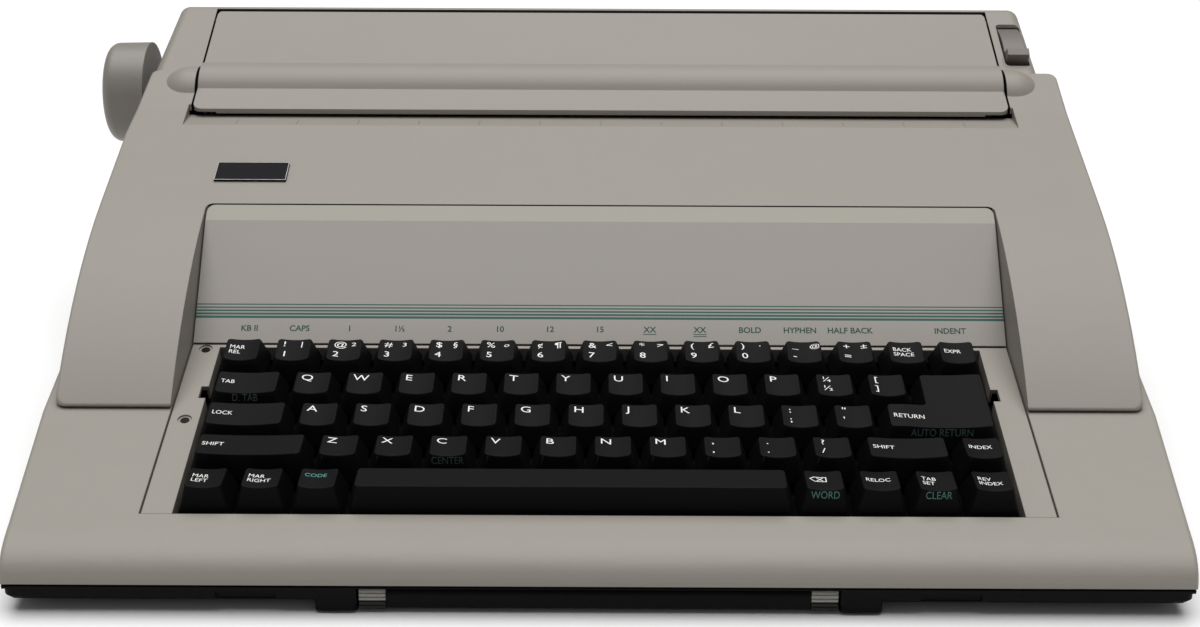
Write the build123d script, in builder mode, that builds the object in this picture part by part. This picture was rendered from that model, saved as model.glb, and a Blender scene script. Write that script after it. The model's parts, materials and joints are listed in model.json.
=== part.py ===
from build123d import *
import os
from math import atan2, cos, radians, sin, tan

# An electronic typewriter: low portable machine with a dark keyboard set into a
# pale moulded case, a hinged cover over the platen and a flat carrying handle.
# Millimetres, +Z up, resting on its feet at height zero. The origin is the
# centre of the footprint, which takes in the platen knob on the left.
# Inside the script x is counted from the middle of the case, y from the front
# edge towards the back and z from the table.

# Overall sizes of the case
case_width = 402.4
front_width = 392.8
arms_width = 394.0
case_depth = 352.0
# Half widths behind the side step and at the back wall, left and right
rear_left = 194.2
rear_right = 190.0
back_left = 187.5
back_right = 187.5
seam_height = 11.5
wall = 2.6

# Front to back: where the surfaces change, and how steeply they rise
wrist_depth = 24.0
wrist_rise = 12.9
wrist_lip = 1.6
keyboard_slope = 10.9
arm_front = 80.0
arm_step = 1.8
arm_gap = 1.0
arm_undercut = 1.6
arm_bend = 215.0
bay_back = 166.0
deck_front_rise = 70.7
deck_slope = 14.9
cover_front = 232.3
cover_slope = 18.8
top_back = 306.0
back_shoulder_y = 340.0
back_shoulder_rise = 92.0
back_wall_rise = 66.0
side_step_y = 260.0

# Keyboard bay
bay_width = 309.6
bay_gap = 0.6
panel_thickness = 2.4
panel_bevel = 7.0
panel_bevel_drop = 3.8
key_pitch = 19.05
key_gap = 1.05
key_taper = 5.6
key_taper_front = 3.0
key_taper_back = 2.4
key_base = -3.4
key_travel = 3.6
key_side_gap = 1.4
first_row = 10.8
row_count = 5
# Height and backward lean of the cap tops, from the back row to the front one
top_heights = (5.6, 4.6, 5.0, 6.2, 7.2)
top_leans = (0.0, 2.4, 2.4, 8.0, 11.0)
bezel_skirt = 6.0
bezel_rim = 0.8
bezel_sink = 0.5
stem_size = 4.6
stem_gap = 0.3
plate_depth = 8.0
plate_thickness = 1.2
switch_size = 14.0
switch_height = 6.4
board_thickness = 1.6

# Top cover
cover_width = 345.0
cover_back = 302.8
cover_gap = 0.8
cover_thickness = 2.4
cover_corner = 4.0
cover_bevel = 1.2
ridge_front = 246.0
ridge_depth = 18.0
ridge_height = 3.4
cover_pin_radius = 1.5
cover_pin_back = 3.6
cover_pin_drop = 3.2
cover_flange = 7.5
pin_reach = 1.0
notch_length = 10.0
notch_top = 1.4
running_gap = 0.05
ledge_depth = 12.0
ledge_drop = 3.6
ledge_width = 348.6
ledge_floor = 2.9
ledge_reach = 2.7
lip_gap = 1.5

# Platen and its drive
platen_clearance = 1.5
ribbon_gap = 3.6
platen_radius = 16.0
platen_length = 318.0
shaft_radius = 3.0
knob_radius = 22.0
knob_end = 216.5
knob_gap = 1.2
plate_x = 168.0
side_plate = 1.6
gear_module = 1.0
gear_width = 5.0
gear_gap = 2.0
platen_teeth = 30
idler_teeth = 30
pinion_teeth = 12

# Carriage
rail_radius = 4.0
rail_front_y = 208.0
rail_rear_y = 236.0
rail_rise = 26.0
carriage_travel = 113.0
wheel_radius = 34.0
wheel_y = 251.5
wheel_thickness = 1.2

# Base, feet and carrying handle
base_inset = 0.8
tray_corner = 3.0
tray_chamfer = 2.4
foot_height = 4.2
foot_radius = 8.0
floor_thickness = 2.6
grip_width = 140.0
arm_width = 9.0
handle_gap = 0.6
handle_reach = 42.0

# Posts, slots and the mains parts in the case
ledge_low = 6.0
post_radius = 4.0
screw_radius = 1.6
bump_end = 177.0
# Left edge, front edge, width and length of the paper release's slot
lever_slot = (176.4, 264.2, 10.6, 30.0)
# Mains inlet: width and height, then its place across and up the back
inlet_size = (50.0, 18.0)
inlet_place = (120.0, 34.0)
inlet_depth = 22.0
inlet_gap = 0.15
transformer_x = -122.0

# Grip, arms and guides of the handle
grip_depth = 14.5
grip_bottom = 1.2
grip_top = 9.4
bracket_width = 14.0
bracket_depth = 17.0
arm_top = 3.8
arm_bottom = 1.6
arm_hold = 83.0
guide_back = 118.0
guide_width = 2.0
guide_lip = 0.9
board_lift = 5.0

# Lamps and badge plate
lens_radius = 1.6
lens_rim = 2.5
# Place across and in depth, then width and height
badge = (-140.1, 186.5, 29.0, 12.6)

# Wide keys
space_width = 8
# Widths of the return key's lower and upper part, in key places
return_widths = (2.25, 1.5)
return_row = 3

# Gears, feed roller, paper release and paper pan
pin_radius = 2.0
idler_angle = 235.0
pinion_angle = 256.0
feed_radius = 6.0
feed_shaft_radius = 2.5
lever_radius = 36.0
lever_rise = 1.4
lever_clearance = 0.4
lever_front = 130.5
lever_back = 78.8
lever_thickness = 2.4
lever_gap = 0.6
motor_radius = 15.0
motor_depth = 13.0
feed_roller_xs = (-95.0, 0.0, 95.0)
feed_roller_length = 34.0
pan_thickness = 0.8

# Printing parts and the belt drive
cheek_x = 37.0
cheek_thickness = 2.5
block_front = 200.0
block_back = 246.0
wheel_motor_radius = 16.4
wheel_motor_front = 222.0
wheel_motor_back = 249.0
cassette_bottom = 78.0
cassette_height = 10.0
hammer_radius = 1.8
hammer_travel = 1.6
coil_front = 235.8
coil_back = 243.0
bridge_thickness = 1.2
spool_radius = 8.0
spool_width = 8.0
spool_x = 26.0
spool_z = 54.0
upright_y = 234.0
upright_thickness = 2.5
belt_y = 222.0
belt_radius = 8.0
belt_thickness = 1.0
belt_bottom = 20.0
belt_width = 6.0
petals = 48
cassette_arm = 6.0
ribbon_y = 254.4
pulley_clearance = 0.3

# Rocker switch and mains socket
rocker_size = (16.4, 10.0)
rocker_gap = 1.3
rocker_pin = 1.5
rocker_pin_reach = 1.4
socket_size = (19.0, 10.0)
socket_depth = 13.0

half_case = case_width / 2
half_front = front_width / 2
half_arms = arms_width / 2
half_bay = bay_width / 2
mid_x = (knob_end - half_case) / 2
front_y = -case_depth / 2
floor_top = foot_height + floor_thickness


def level(z):
    """Horizontal plane at height z."""
    return Plane(origin=(mid_x, front_y, z))


def upright(y):
    """Plane facing the front, at depth y. Local x is across and local y is up."""
    return Plane(origin=(mid_x, front_y + y, 0), x_dir=(1, 0, 0), z_dir=(0, -1, 0))


def side(x):
    """Plane facing right, at x. Local x runs to the back and local y is up."""
    return Plane(origin=(mid_x + x, front_y, 0), x_dir=(0, 1, 0), z_dir=(1, 0, 0))


def keyboard(across=0.0, along=0.0, up=0.0):
    """Sloping plane of the keyboard surround, moved within itself and off itself."""
    lean = radians(keyboard_slope)
    y = front_y + wrist_depth + along * cos(lean) - up * sin(lean)
    z = seam_height + wrist_rise + along * sin(lean) + up * cos(lean)
    return Plane(origin=(mid_x + across, y, z), x_dir=(1, 0, 0), z_dir=(0, -sin(lean), cos(lean)))


def rise(angle):
    """Height gained per millimetre of depth on a slope."""
    return tan(radians(angle))


def cover_height(y):
    """Height of the cover's flat top at depth y."""
    front = seam_height + deck_front_rise + (cover_front - bay_back) * rise(deck_slope)
    return front + (y - cover_front) * rise(cover_slope)


def deck_height(y):
    """Height of the deck ahead of the cover at depth y."""
    return seam_height + deck_front_rise + (y - bay_back) * rise(deck_slope)


def low_deck_height(y):
    """Height of the low deck beside the keyboard at depth y."""
    return seam_height + wrist_rise + (y - wrist_depth) * rise(keyboard_slope)


# Outlines of the case seen from the right side


def low_outline(inset=0.0):
    """Wrist rest and low deck, back to the side step, at a distance under the skin."""
    lean = radians(keyboard_slope)
    drop = inset / cos(lean)
    lip = (inset, seam_height + wrist_lip)
    crest = (wrist_depth, low_deck_height(wrist_depth) - drop)
    tail = (side_step_y, low_deck_height(side_step_y) - drop)
    with BuildLine() as path:
        Line((inset, seam_height), lip)
        Spline(lip, crest, tangents=((0.32, 1.0), (cos(lean), sin(lean))))
        Polyline(crest, tail, (side_step_y, seam_height), (inset, seam_height))
    make_face(path.edges())


def arm_outline(back, inset=0.0):
    """Raised arms and deck, from the arm's front step to a given depth."""
    lean = radians(deck_slope)
    drop = inset / cos(lean)
    toe = (arm_front + inset, low_deck_height(arm_front) + arm_step - inset / 2)
    knee = (bay_back, deck_height(bay_back) - drop)
    brow = (cover_front, deck_height(cover_front) - drop)
    top = (back, cover_height(back) - drop)
    with BuildLine() as path:
        Line((arm_front + inset, seam_height), toe)
        TangentArc(knee, toe, tangent=(-cos(lean), -sin(lean)))
        Polyline(knee, brow, top, (back, seam_height), (arm_front + inset, seam_height))
    make_face(path.edges())


def rear_outline(inset=0.0):
    """Rear of the case, from just ahead of the side step to the back wall."""
    start = side_step_y - 2 * wall
    drop = inset / cos(radians(cover_slope))
    shoulder = (back_shoulder_y - inset * 0.8, seam_height + back_shoulder_rise - inset)
    hip = (case_depth - inset, seam_height + back_wall_rise - inset / 2)
    with BuildLine() as path:
        Polyline(
            (start, seam_height),
            (start, cover_height(start) - drop),
            (top_back, cover_height(top_back) - drop),
            shoulder,
            hip,
            (case_depth - inset, seam_height),
            close=True,
        )
    make_face(path.edges())


def plan_outline(inset=0.0):
    """Outline of the case from above, at a distance inside its edge."""
    edge = [
        (half_front - inset, inset),
        (half_case - inset, arm_front),
        (half_case - inset, side_step_y - inset),
    ]
    right = [(rear_right - inset, side_step_y - inset), (back_right - inset, case_depth - inset)]
    left = [(inset - back_left, case_depth - inset), (inset - rear_left, side_step_y - inset)]
    with BuildLine() as path:
        Polyline(*edge, *right, *left, *[(-x, y) for x, y in reversed(edge)], close=True)
    make_face(path.edges())


def rear_plan(inset=0.0):
    """Outline of the rear from above, a little narrower towards the back."""
    start = side_step_y - 2 * wall
    with BuildLine() as path:
        Polyline(
            (inset - rear_left, start),
            (inset - rear_left, side_step_y),
            (inset - back_left, case_depth),
            (back_right - inset, case_depth),
            (rear_right - inset, side_step_y),
            (rear_right - inset, start),
            close=True,
        )
    make_face(path.edges())


def bay_wall_outline():
    """Side wall of the keyboard bay, from below its ledge up into the case's skin."""
    foot = wrist_depth - wall
    head = bay_back + wall
    low_outline(wall / 2)
    arm_outline(side_step_y, wall / 2)
    bend = surround(panel_foot, -ledge_low)
    with BuildLine() as path:
        Polyline(
            (foot, low_deck_height(foot) - ledge_low),
            bend,
            (head, deck_height(head) - ledge_low * 1.6),
            (head, deck_height(head) + wall),
            (foot, deck_height(head) + wall),
            close=True,
        )
    make_face(path.edges(), mode=Mode.INTERSECT)


def surround(along, up):
    """Depth and height of a point on the keyboard surround's section."""
    lean = radians(keyboard_slope)
    y = wrist_depth + along * cos(lean) - up * sin(lean)
    z = seam_height + wrist_rise + along * sin(lean) + up * cos(lean)
    return (y, z)


def panel_line(drop):
    """Foot, crease and head of the sloping panel, at a distance under its face."""
    foot = surround(panel_foot, 0)
    head = (bay_back - bay_gap, deck_height(bay_back) - panel_bevel_drop * 0.08)
    crease = (head[0] - panel_bevel, head[1] - panel_bevel_drop)
    lean = atan2(crease[1] - foot[1], crease[0] - foot[0])
    shift = (drop * sin(lean), -drop * cos(lean))
    return [(p[0] + shift[0], p[1] + shift[1]) for p in (foot, crease, head)]


key_size = key_pitch - key_gap
row_span = (row_count - 1) * key_pitch
stem_foot = -plate_depth - key_travel
opening_front = first_row - key_size / 2 - bezel_rim
opening_back = first_row + row_span + key_size / 2 + bezel_rim
panel_foot = opening_back + bezel_rim + 2 * bay_gap - 0.6
opening_width = 15 * key_pitch - key_gap + 2 * key_side_gap

post_rows = ((180.0, 45.0), (180.0, 150.0), (176.0, 335.0))
post_places = [(side_of * x, y) for side_of in (-1, 1) for x, y in post_rows]

platen_y = ribbon_y + ribbon_gap + platen_radius
cover_underside = cover_height(platen_y) - cover_thickness / cos(radians(cover_slope))
platen_z = cover_underside - platen_clearance - platen_radius
cover_half = cover_width / 2
hinge_y = cover_back - cover_pin_back
hinge_z = cover_height(hinge_y) - cover_pin_drop
ridge_mid = ridge_front + ridge_depth / 2
ridge_radius = (ridge_depth**2 / 4 + ridge_height**2) / (2 * ridge_height)


def near(value, target, slack=0.1):
    """Whether two lengths agree closely."""
    return abs(value - target) < slack


def polar(centre, distance, angle):
    """Point at a distance and angle from another, seen from the right side."""
    a = radians(angle)
    return (centre[0] + distance * cos(a), centre[1] + distance * sin(a))


# The paper release turns with its drum standing a little over the case
lever_lean = 90 + cover_slope
slot_middle = lever_slot[1] + lever_slot[3] / 2
lever_pivot = polar((slot_middle, cover_height(slot_middle)), lever_rise - lever_radius, lever_lean)

os.makedirs("parts", exist_ok=True)

# Case: an upper shell, open underneath, with a bay for the keyboard

with BuildPart() as low_hollow:
    with BuildSketch(side(-half_case)):
        low_outline(wall)
    extrude(amount=case_width)
    with BuildSketch(level(0)):
        plan_outline(wall)
    extrude(amount=2 * platen_z, mode=Mode.INTERSECT)

with BuildPart() as case_hollow:
    add(low_hollow.part)
    # The wide front length and the narrower rear one meet just ahead of the step
    hollow_split = side_step_y - wall
    for right, start, end in (
        (half_arms - wall, 0, hollow_split),
        (rear_right - wall, hollow_split, case_depth),
    ):
        with BuildSketch(side(wall - rear_left)):
            low_outline(wall)
            arm_outline(side_step_y, wall)
            rear_outline(wall)
            with Locations(((start + end) / 2, 0)):
                Rectangle(end - start, 4 * case_depth, mode=Mode.INTERSECT)
        extrude(amount=rear_left - wall + right)
    # The walls draw in a little towards the back
    with BuildSketch(level(0)):
        with Locations((0, side_step_y / 2)):
            Rectangle(2 * case_width, side_step_y)
        rear_plan(wall)
    extrude(amount=2 * platen_z, mode=Mode.INTERSECT)
    with BuildSketch(level(0)):
        with Locations(*post_places):
            Circle(post_radius)
    extrude(amount=2 * platen_z, mode=Mode.SUBTRACT)
    for wall_x in (-half_bay - wall, half_bay):
        with BuildSketch(side(wall_x)):
            bay_wall_outline()
        extrude(amount=wall, mode=Mode.SUBTRACT)
    for wall_x in (-cover_half - cover_gap - wall, cover_half + cover_gap):
        with BuildSketch(side(wall_x)):
            with BuildLine():
                Polyline(
                    (hinge_y - cover_flange, cover_height(hinge_y) - cover_flange - wall),
                    (top_back, cover_height(hinge_y) - cover_flange - wall),
                    (top_back, 2 * platen_z),
                    (hinge_y - cover_flange, 2 * platen_z),
                    close=True,
                )
            make_face()
        extrude(amount=wall, mode=Mode.SUBTRACT)
    with BuildSketch(side(-rear_left)):
        with BuildLine():
            ledge_start = cover_front - ledge_depth - wall
            ledge_end = cover_front + ledge_reach
            Polyline(
                (ledge_start, deck_height(ledge_start) - wall / cos(radians(deck_slope))),
                (cover_front - wall, deck_height(cover_front) - ledge_drop - ledge_floor),
                (ledge_end, deck_height(cover_front) - ledge_drop - ledge_floor),
                (ledge_end, 2 * platen_z),
                (ledge_start, 2 * platen_z),
                close=True,
            )
        make_face()
    extrude(amount=rear_left + rear_right, mode=Mode.SUBTRACT)

with BuildPart() as low_shell:
    with BuildSketch(side(-half_case)):
        low_outline()
    extrude(amount=case_width)
    with BuildSketch(level(0)):
        plan_outline()
    extrude(amount=2 * platen_z, mode=Mode.INTERSECT)
    rims = low_shell.edges().filter_by(lambda e: abs(e.center().X - mid_x) > half_front - 1)
    rims = rims.filter_by(lambda e: e.center().Z > seam_height + wrist_lip)
    rims = rims.filter_by(Axis.Z, reverse=True)
    fillet(rims.filter_by(lambda e: e.center().Y < front_y + side_step_y - 1), radius=1.6)

with BuildPart() as arm_shell:
    with BuildSketch(side(-half_arms)):
        arm_outline(side_step_y)
    extrude(amount=arms_width)
    # The left side draws in towards the platen knob
    with BuildSketch(level(0)):
        with BuildLine():
            Polyline(
                (-half_arms, 0),
                (-half_arms, arm_bend),
                (-rear_left, side_step_y),
                (half_arms, side_step_y),
                (half_arms, 0),
                close=True,
            )
        make_face()
    extrude(amount=2 * platen_z, mode=Mode.INTERSECT)
    upright_edges = arm_shell.edges().filter_by(Axis.Z)
    fillet(upright_edges.filter_by(lambda e: not near(e.center().Y, front_y + arm_bend)), radius=4)
    rims = arm_shell.edges().filter_by(Axis.Z, reverse=True)
    rims = rims.filter_by(lambda e: e.center().Z > seam_height + 1)
    ends = (front_y + arm_front, front_y + side_step_y)
    rims = rims.filter_by(
        lambda e: abs(e.center().X - mid_x) > half_arms - 5 or any(near(e.center().Y, end) for end in ends)
    )
    fillet(rims, radius=1.2)

with BuildPart() as rear_shell:
    with BuildSketch(side(-rear_left)):
        rear_outline()
    extrude(amount=rear_left + rear_right)
    across = rear_shell.edges().filter_by(Axis.X)
    fillet(across.filter_by(lambda e: near(e.center().Z, cover_height(top_back))), radius=6)
    across = rear_shell.edges().filter_by(Axis.X)
    fillet(across.filter_by(lambda e: near(e.center().Y, front_y + back_shoulder_y)), radius=16)
    across = rear_shell.edges().filter_by(Axis.X)
    fillet(across.filter_by(lambda e: near(e.center().Z, seam_height + back_wall_rise)), radius=16)
    with BuildSketch(level(0)):
        rear_plan()
    extrude(amount=2 * platen_z, mode=Mode.INTERSECT)
    sides = rear_shell.faces().filter_by(lambda f: abs(f.normal_at().X) > 0.9)
    rims = rear_shell.edges().filter_by(lambda e: any(e in f.edges() for f in sides))
    rims = rims.filter_by(Axis.Z, reverse=True).filter_by(lambda e: e.center().Z > seam_height + 0.1)
    fillet(rims.filter_by(lambda e: e.center().Y > front_y + side_step_y - 2 * wall + 1), radius=5)

with BuildPart() as upper_case:
    add(low_shell.part)
    add(arm_shell.part)
    add(rear_shell.part)
    # Half-round bumps that carry the cover's ridge on over the case
    for end in (-1, 1):
        bump_start = cover_half + cover_gap
        bump_z = cover_height(ridge_mid) + ridge_height - ridge_radius
        with BuildSketch(side(end * bump_start)):
            with Locations((ridge_mid, bump_z)):
                Circle(ridge_radius)
        extrude(amount=end * (bump_end - bump_start))
        with Locations((mid_x + end * bump_end, front_y + ridge_mid, bump_z)):
            Sphere(ridge_radius)
    add(case_hollow.part, mode=Mode.SUBTRACT)
    # Narrow gap under the front edge of the raised arms
    with BuildSketch(side(-half_arms - 1)):
        with BuildLine():
            gap_line = [(y, low_deck_height(y)) for y in (arm_front - 1, arm_front + arm_undercut)]
            Polyline(*gap_line, *[(y, z + arm_gap) for y, z in reversed(gap_line)], close=True)
        make_face()
    extrude(amount=arms_width + 2, mode=Mode.SUBTRACT)
    # Bay for the keyboard and the sloping panel
    with BuildSketch(level(0)):
        with Locations((0, (wrist_depth + bay_back) / 2)):
            Rectangle(bay_width, bay_back - wrist_depth)
        fillet(vertices().group_by(Axis.Y)[-1], radius=3)
    extrude(amount=2 * platen_z, mode=Mode.SUBTRACT)
    # Opening for the cover, with a ledge along its front
    with BuildSketch(level(0)):
        opening_start = cover_front + ledge_reach
        opening_end = cover_back + cover_gap
        with Locations((0, (opening_start + opening_end) / 2)):
            Rectangle(cover_width + 2 * cover_gap, opening_end - opening_start)
    extrude(amount=2 * platen_z, mode=Mode.SUBTRACT)
    with BuildSketch(side(-ledge_width / 2)):
        with BuildLine():
            Polyline(
                (cover_front - ledge_depth, deck_height(cover_front - ledge_depth)),
                (cover_front, deck_height(cover_front) - ledge_drop),
                (cover_front + ledge_reach + 0.1, deck_height(cover_front) - ledge_drop),
                (cover_front + ledge_reach + 0.1, 2 * platen_z),
                (cover_front - ledge_depth, 2 * platen_z),
                close=True,
            )
        make_face()
    extrude(amount=ledge_width, mode=Mode.SUBTRACT)
    # Ledges that carry the keyboard surround and the panel
    for ledge_x in (-half_bay - wall / 2, half_bay - 3):
        with BuildSketch(side(ledge_x)):
            with BuildLine():
                Polyline(
                    surround(bay_gap, -panel_thickness),
                    surround(panel_foot - 2, -panel_thickness),
                    surround(panel_foot - 2, -panel_thickness - 2),
                    surround(bay_gap, -panel_thickness - 2),
                    close=True,
                )
            make_face()
            with BuildLine():
                low = panel_line(panel_thickness + 2)
                Polyline(*panel_line(panel_thickness), *reversed(low), close=True)
            make_face()
        extrude(amount=3 + wall / 2)
    # Slot for the paper release, holes for the platen shaft and the hinge pins
    with BuildSketch(level(platen_z)):
        with Locations((lever_slot[0] + lever_slot[2] / 2, lever_slot[1] + lever_slot[3] / 2)):
            RectangleRounded(lever_slot[2], lever_slot[3], 2)
    extrude(amount=platen_z, mode=Mode.SUBTRACT)
    with BuildSketch(side(lever_slot[0])):
        with Locations(lever_pivot):
            Circle(lever_radius + lever_clearance)
            Circle(lever_radius - 3 * lever_thickness, mode=Mode.SUBTRACT)
    extrude(amount=lever_slot[2], mode=Mode.SUBTRACT)
    with BuildSketch(side(-rear_left - 1)):
        with Locations((platen_y, platen_z)):
            Circle(shaft_radius + 1.5)
    extrude(amount=2 * wall + 1, mode=Mode.SUBTRACT)
    for end in (-1, 1):
        with BuildSketch(side(end * (cover_half + cover_gap - 0.5))):
            with Locations((hinge_y, hinge_z)):
                Circle(cover_pin_radius + running_gap)
        extrude(amount=end * (wall + pin_reach + 0.8), mode=Mode.SUBTRACT)
    with BuildSketch(upright(case_depth + 1)):
        with Locations(inlet_place):
            Rectangle(inlet_size[0] + 2 * inlet_gap, inlet_size[1] + 2 * inlet_gap)
    extrude(amount=wall + 3, mode=Mode.SUBTRACT)
    # Posts that take the case screws
    with BuildSketch(level(floor_top)):
        with Locations(*post_places):
            Circle(post_radius)
    extrude(amount=seam_height - floor_top + 2)
    with BuildSketch(level(floor_top)):
        with Locations(*post_places):
            Circle(screw_radius + running_gap)
    extrude(amount=14, mode=Mode.SUBTRACT)
upper_case.part.label = "upper_case"
export_step(upper_case.part, "parts/upper_case.step")


# Base tray: black floor with a low wall, a flange under the case and the
# pocket and guides of the carrying handle

grip_front = base_inset + 0.5
handle_half = grip_width / 2 + arm_width
arm_back = arm_hold + handle_reach
foot_places = [(x, y) for x in (-170.0, 170.0) for y in (26.0, 318.0)]
leg_places = [(x, y) for x in (-147.0, 147.0) for y in (38.0, 100.0)]
board_post_places = [(x, y) for x in (-105.0, 105.0) for y in (136.0, 190.0)]
pocket_top = grip_top + handle_gap

with BuildPart() as base_tray:
    with BuildSketch(level(foot_height)):
        plan_outline(base_inset)
    extrude(amount=seam_height - foot_height)
    corners = base_tray.edges().filter_by(Axis.Z)
    fillet(corners.filter_by(lambda e: not near(e.center().Y, front_y + arm_front)), radius=tray_corner)
    chamfer(base_tray.edges().group_by(Axis.Z)[0], length=tray_chamfer)
    with BuildSketch(level(seam_height - 2)):
        plan_outline(0.5)
    extrude(amount=2)
    with BuildSketch(level(floor_top)):
        plan_outline(base_inset + floor_thickness)
    extrude(amount=seam_height, mode=Mode.SUBTRACT)
    # Legs under the keyboard plate, cut off at its slope
    with BuildSketch(level(floor_top - 1)):
        with Locations(*leg_places):
            Circle(3.5)
    extrude(amount=40)
    with BuildSketch(keyboard(0, 60, -plate_depth - plate_thickness)):
        Rectangle(case_width * 2, case_depth)
    extrude(amount=100, mode=Mode.SUBTRACT)
    # Posts under the main board
    with BuildSketch(level(floor_top - 1)):
        with Locations(*board_post_places):
            Circle(3.5)
    extrude(amount=board_lift + 1)
    # Pocket for the grip, with a block on each side of it
    with BuildSketch(level(foot_height)):
        with Locations((0, base_inset + (grip_depth + handle_gap * 6) / 2)):
            Rectangle(2 * (handle_half + handle_gap + 2), grip_depth + handle_gap * 6)
    extrude(amount=seam_height - foot_height)
    with BuildSketch(level(0)):
        with Locations((0, (grip_front + grip_depth + handle_gap) / 2)):
            Rectangle(2 * (handle_half + handle_gap), grip_front + grip_depth + handle_gap)
    extrude(amount=pocket_top, mode=Mode.SUBTRACT)
    for end in (-1, 1):
        block_x = end * (handle_half + handle_gap + bracket_width / 2)
        with BuildSketch(level(grip_bottom)):
            with Locations((block_x, base_inset + bracket_depth / 2 + 0.3)):
                RectangleRounded(bracket_width, bracket_depth, 1.5)
        extrude(amount=seam_height - grip_bottom)
        # Guides: an inner and an outer rail, each with a lip under the arm
        arm_x = end * (grip_width / 2 + arm_width / 2)
        guide_length = guide_back - 30
        with BuildSketch(level(arm_bottom - guide_lip - 0.3)):
            for across in (-1, 1):
                rail_x = arm_x + across * (arm_width / 2 + handle_gap / 2 + guide_width / 2)
                with Locations((rail_x, 30 + guide_length / 2)):
                    Rectangle(guide_width, guide_length)
        extrude(amount=foot_height - arm_bottom + guide_lip + 0.3)
        with BuildSketch(level(arm_bottom - guide_lip - 0.3)):
            for across in (-1, 1):
                rail_x = arm_x + across * (arm_width / 2 - 0.6)
                with Locations((rail_x, 30 + guide_length / 2)):
                    Rectangle(guide_width + 1.2, guide_length)
        extrude(amount=guide_lip)
    # Shallow moulded slots in the front wall
    with BuildSketch(upright(base_inset + 1.2)):
        with Locations((-116, seam_height - 4.5), (116, seam_height - 4.5)):
            Rectangle(20, 2.6)
    extrude(amount=4, mode=Mode.SUBTRACT)
    # Vents under the transformer, and the holes of the case screws
    with BuildSketch(level(0)):
        with Locations((transformer_x, 320)):
            with GridLocations(8, 1, 6, 1):
                SlotOverall(36, 3.2, rotation=90)
        with Locations(*post_places):
            Circle(screw_radius + running_gap)
    extrude(amount=floor_top + 1, mode=Mode.SUBTRACT)
base_tray.part.label = "base_tray"
export_step(base_tray.part, "parts/base_tray.step")

with BuildPart() as rubber_feet:
    with BuildSketch(level(0)):
        with Locations(*foot_places):
            Circle(foot_radius)
    extrude(amount=foot_height)
    chamfer(rubber_feet.edges().group_by(Axis.Z)[0], length=0.8)
rubber_feet.part.label = "rubber_feet"
export_step(rubber_feet.part, "parts/rubber_feet.step")

with BuildPart() as case_screws:
    with BuildSketch(level(foot_height - 1.8)):
        with Locations(*post_places):
            Circle(2 * screw_radius)
    extrude(amount=1.8)
    with BuildSketch(level(foot_height)):
        with Locations(*post_places):
            Circle(screw_radius)
    extrude(amount=14)
    with BuildSketch(level(foot_height - 1.8)):
        with Locations(*post_places):
            Rectangle(4.2, 0.8)
            Rectangle(0.8, 4.2)
    extrude(amount=1, mode=Mode.SUBTRACT)
case_screws.part.label = "case_screws"
export_step(case_screws.part, "parts/case_screws.step")

with BuildPart() as handle_grip:
    with BuildSketch(side(-grip_width / 2 + 0.1)):
        with Locations((grip_front + grip_depth / 2, (grip_bottom + grip_top) / 2)):
            RectangleRounded(grip_depth, grip_top - grip_bottom, 2.6)
    extrude(amount=grip_width - 0.2)
handle_grip.part.label = "handle_grip"
export_step(handle_grip.part, "parts/handle_grip.step")

with BuildPart() as handle_arms:
    for end in (-1, 1):
        arm_x = end * (grip_width / 2 + arm_width / 2)
        with BuildSketch(side(arm_x - arm_width / 2 + 0.1)):
            with Locations((grip_front + grip_depth / 2, (grip_bottom + grip_top) / 2)):
                RectangleRounded(grip_depth, grip_top - grip_bottom, 1.6)
        extrude(amount=arm_width - 0.2)
        with BuildSketch(level(arm_bottom)):
            with Locations((arm_x, (grip_front + grip_depth / 2 + arm_back) / 2)):
                Rectangle(arm_width - 0.2, arm_back - grip_front - grip_depth / 2)
        extrude(amount=arm_top - arm_bottom)
        # Ribs across the front of each arm
        with BuildSketch(side(arm_x - arm_width / 2)):
            with Locations(*[(grip_front, grip_bottom + 2 + step * 1.6) for step in range(4)]):
                Circle(0.4)
        extrude(amount=arm_width, mode=Mode.SUBTRACT)
handle_arms.part.label = "handle_arms"
export_step(handle_arms.part, "parts/handle_arms.step")

# Keyboard surround, sloping panel, badge plate and lamp lenses

lens_places = [(-149.0, opening_back - 1.8), (-149.0, opening_back - 44.8)]

with BuildPart() as keyboard_bezel:
    with BuildSketch(keyboard(0, 0, -bezel_sink)):
        with Locations((0, panel_foot / 2)):
            Rectangle(bay_width - 2 * bay_gap, panel_foot - 2 * bay_gap)
    extrude(amount=bezel_sink - panel_thickness)
    with BuildSketch(keyboard(0, 0, -bezel_sink)):
        with Locations((0, (opening_front + opening_back) / 2)):
            Rectangle(opening_width + 2 * bezel_rim, opening_back - opening_front)
    extrude(amount=-bezel_skirt)
    # The opening runs out through the front edge
    with BuildSketch(keyboard(0, 0, 1)):
        with Locations((0, (opening_back - bezel_rim) / 2)):
            Rectangle(opening_width, opening_back - bezel_rim)
    extrude(amount=-bezel_skirt - 2, mode=Mode.SUBTRACT)
    # Small notches in the sides of the opening, beside the second row
    with BuildSketch(keyboard(0, 0, 1)):
        with Locations((0, first_row + 3 * key_pitch)):
            Rectangle(opening_width + 5.2, 7)
    extrude(amount=-bezel_skirt - 2, mode=Mode.SUBTRACT)
    # Sunk rims and holes of the two lamps
    with BuildSketch(keyboard(0, 0, 1)):
        with Locations(*lens_places):
            Circle(lens_rim)
    extrude(amount=-1.6 - bezel_sink, mode=Mode.SUBTRACT)
    with BuildSketch(keyboard(0, 0, 1)):
        with Locations(*lens_places):
            Circle(lens_radius + running_gap)
    extrude(amount=-panel_thickness - 2, mode=Mode.SUBTRACT)
keyboard_bezel.part.label = "keyboard_bezel"
export_step(keyboard_bezel.part, "parts/keyboard_bezel.step")

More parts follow.
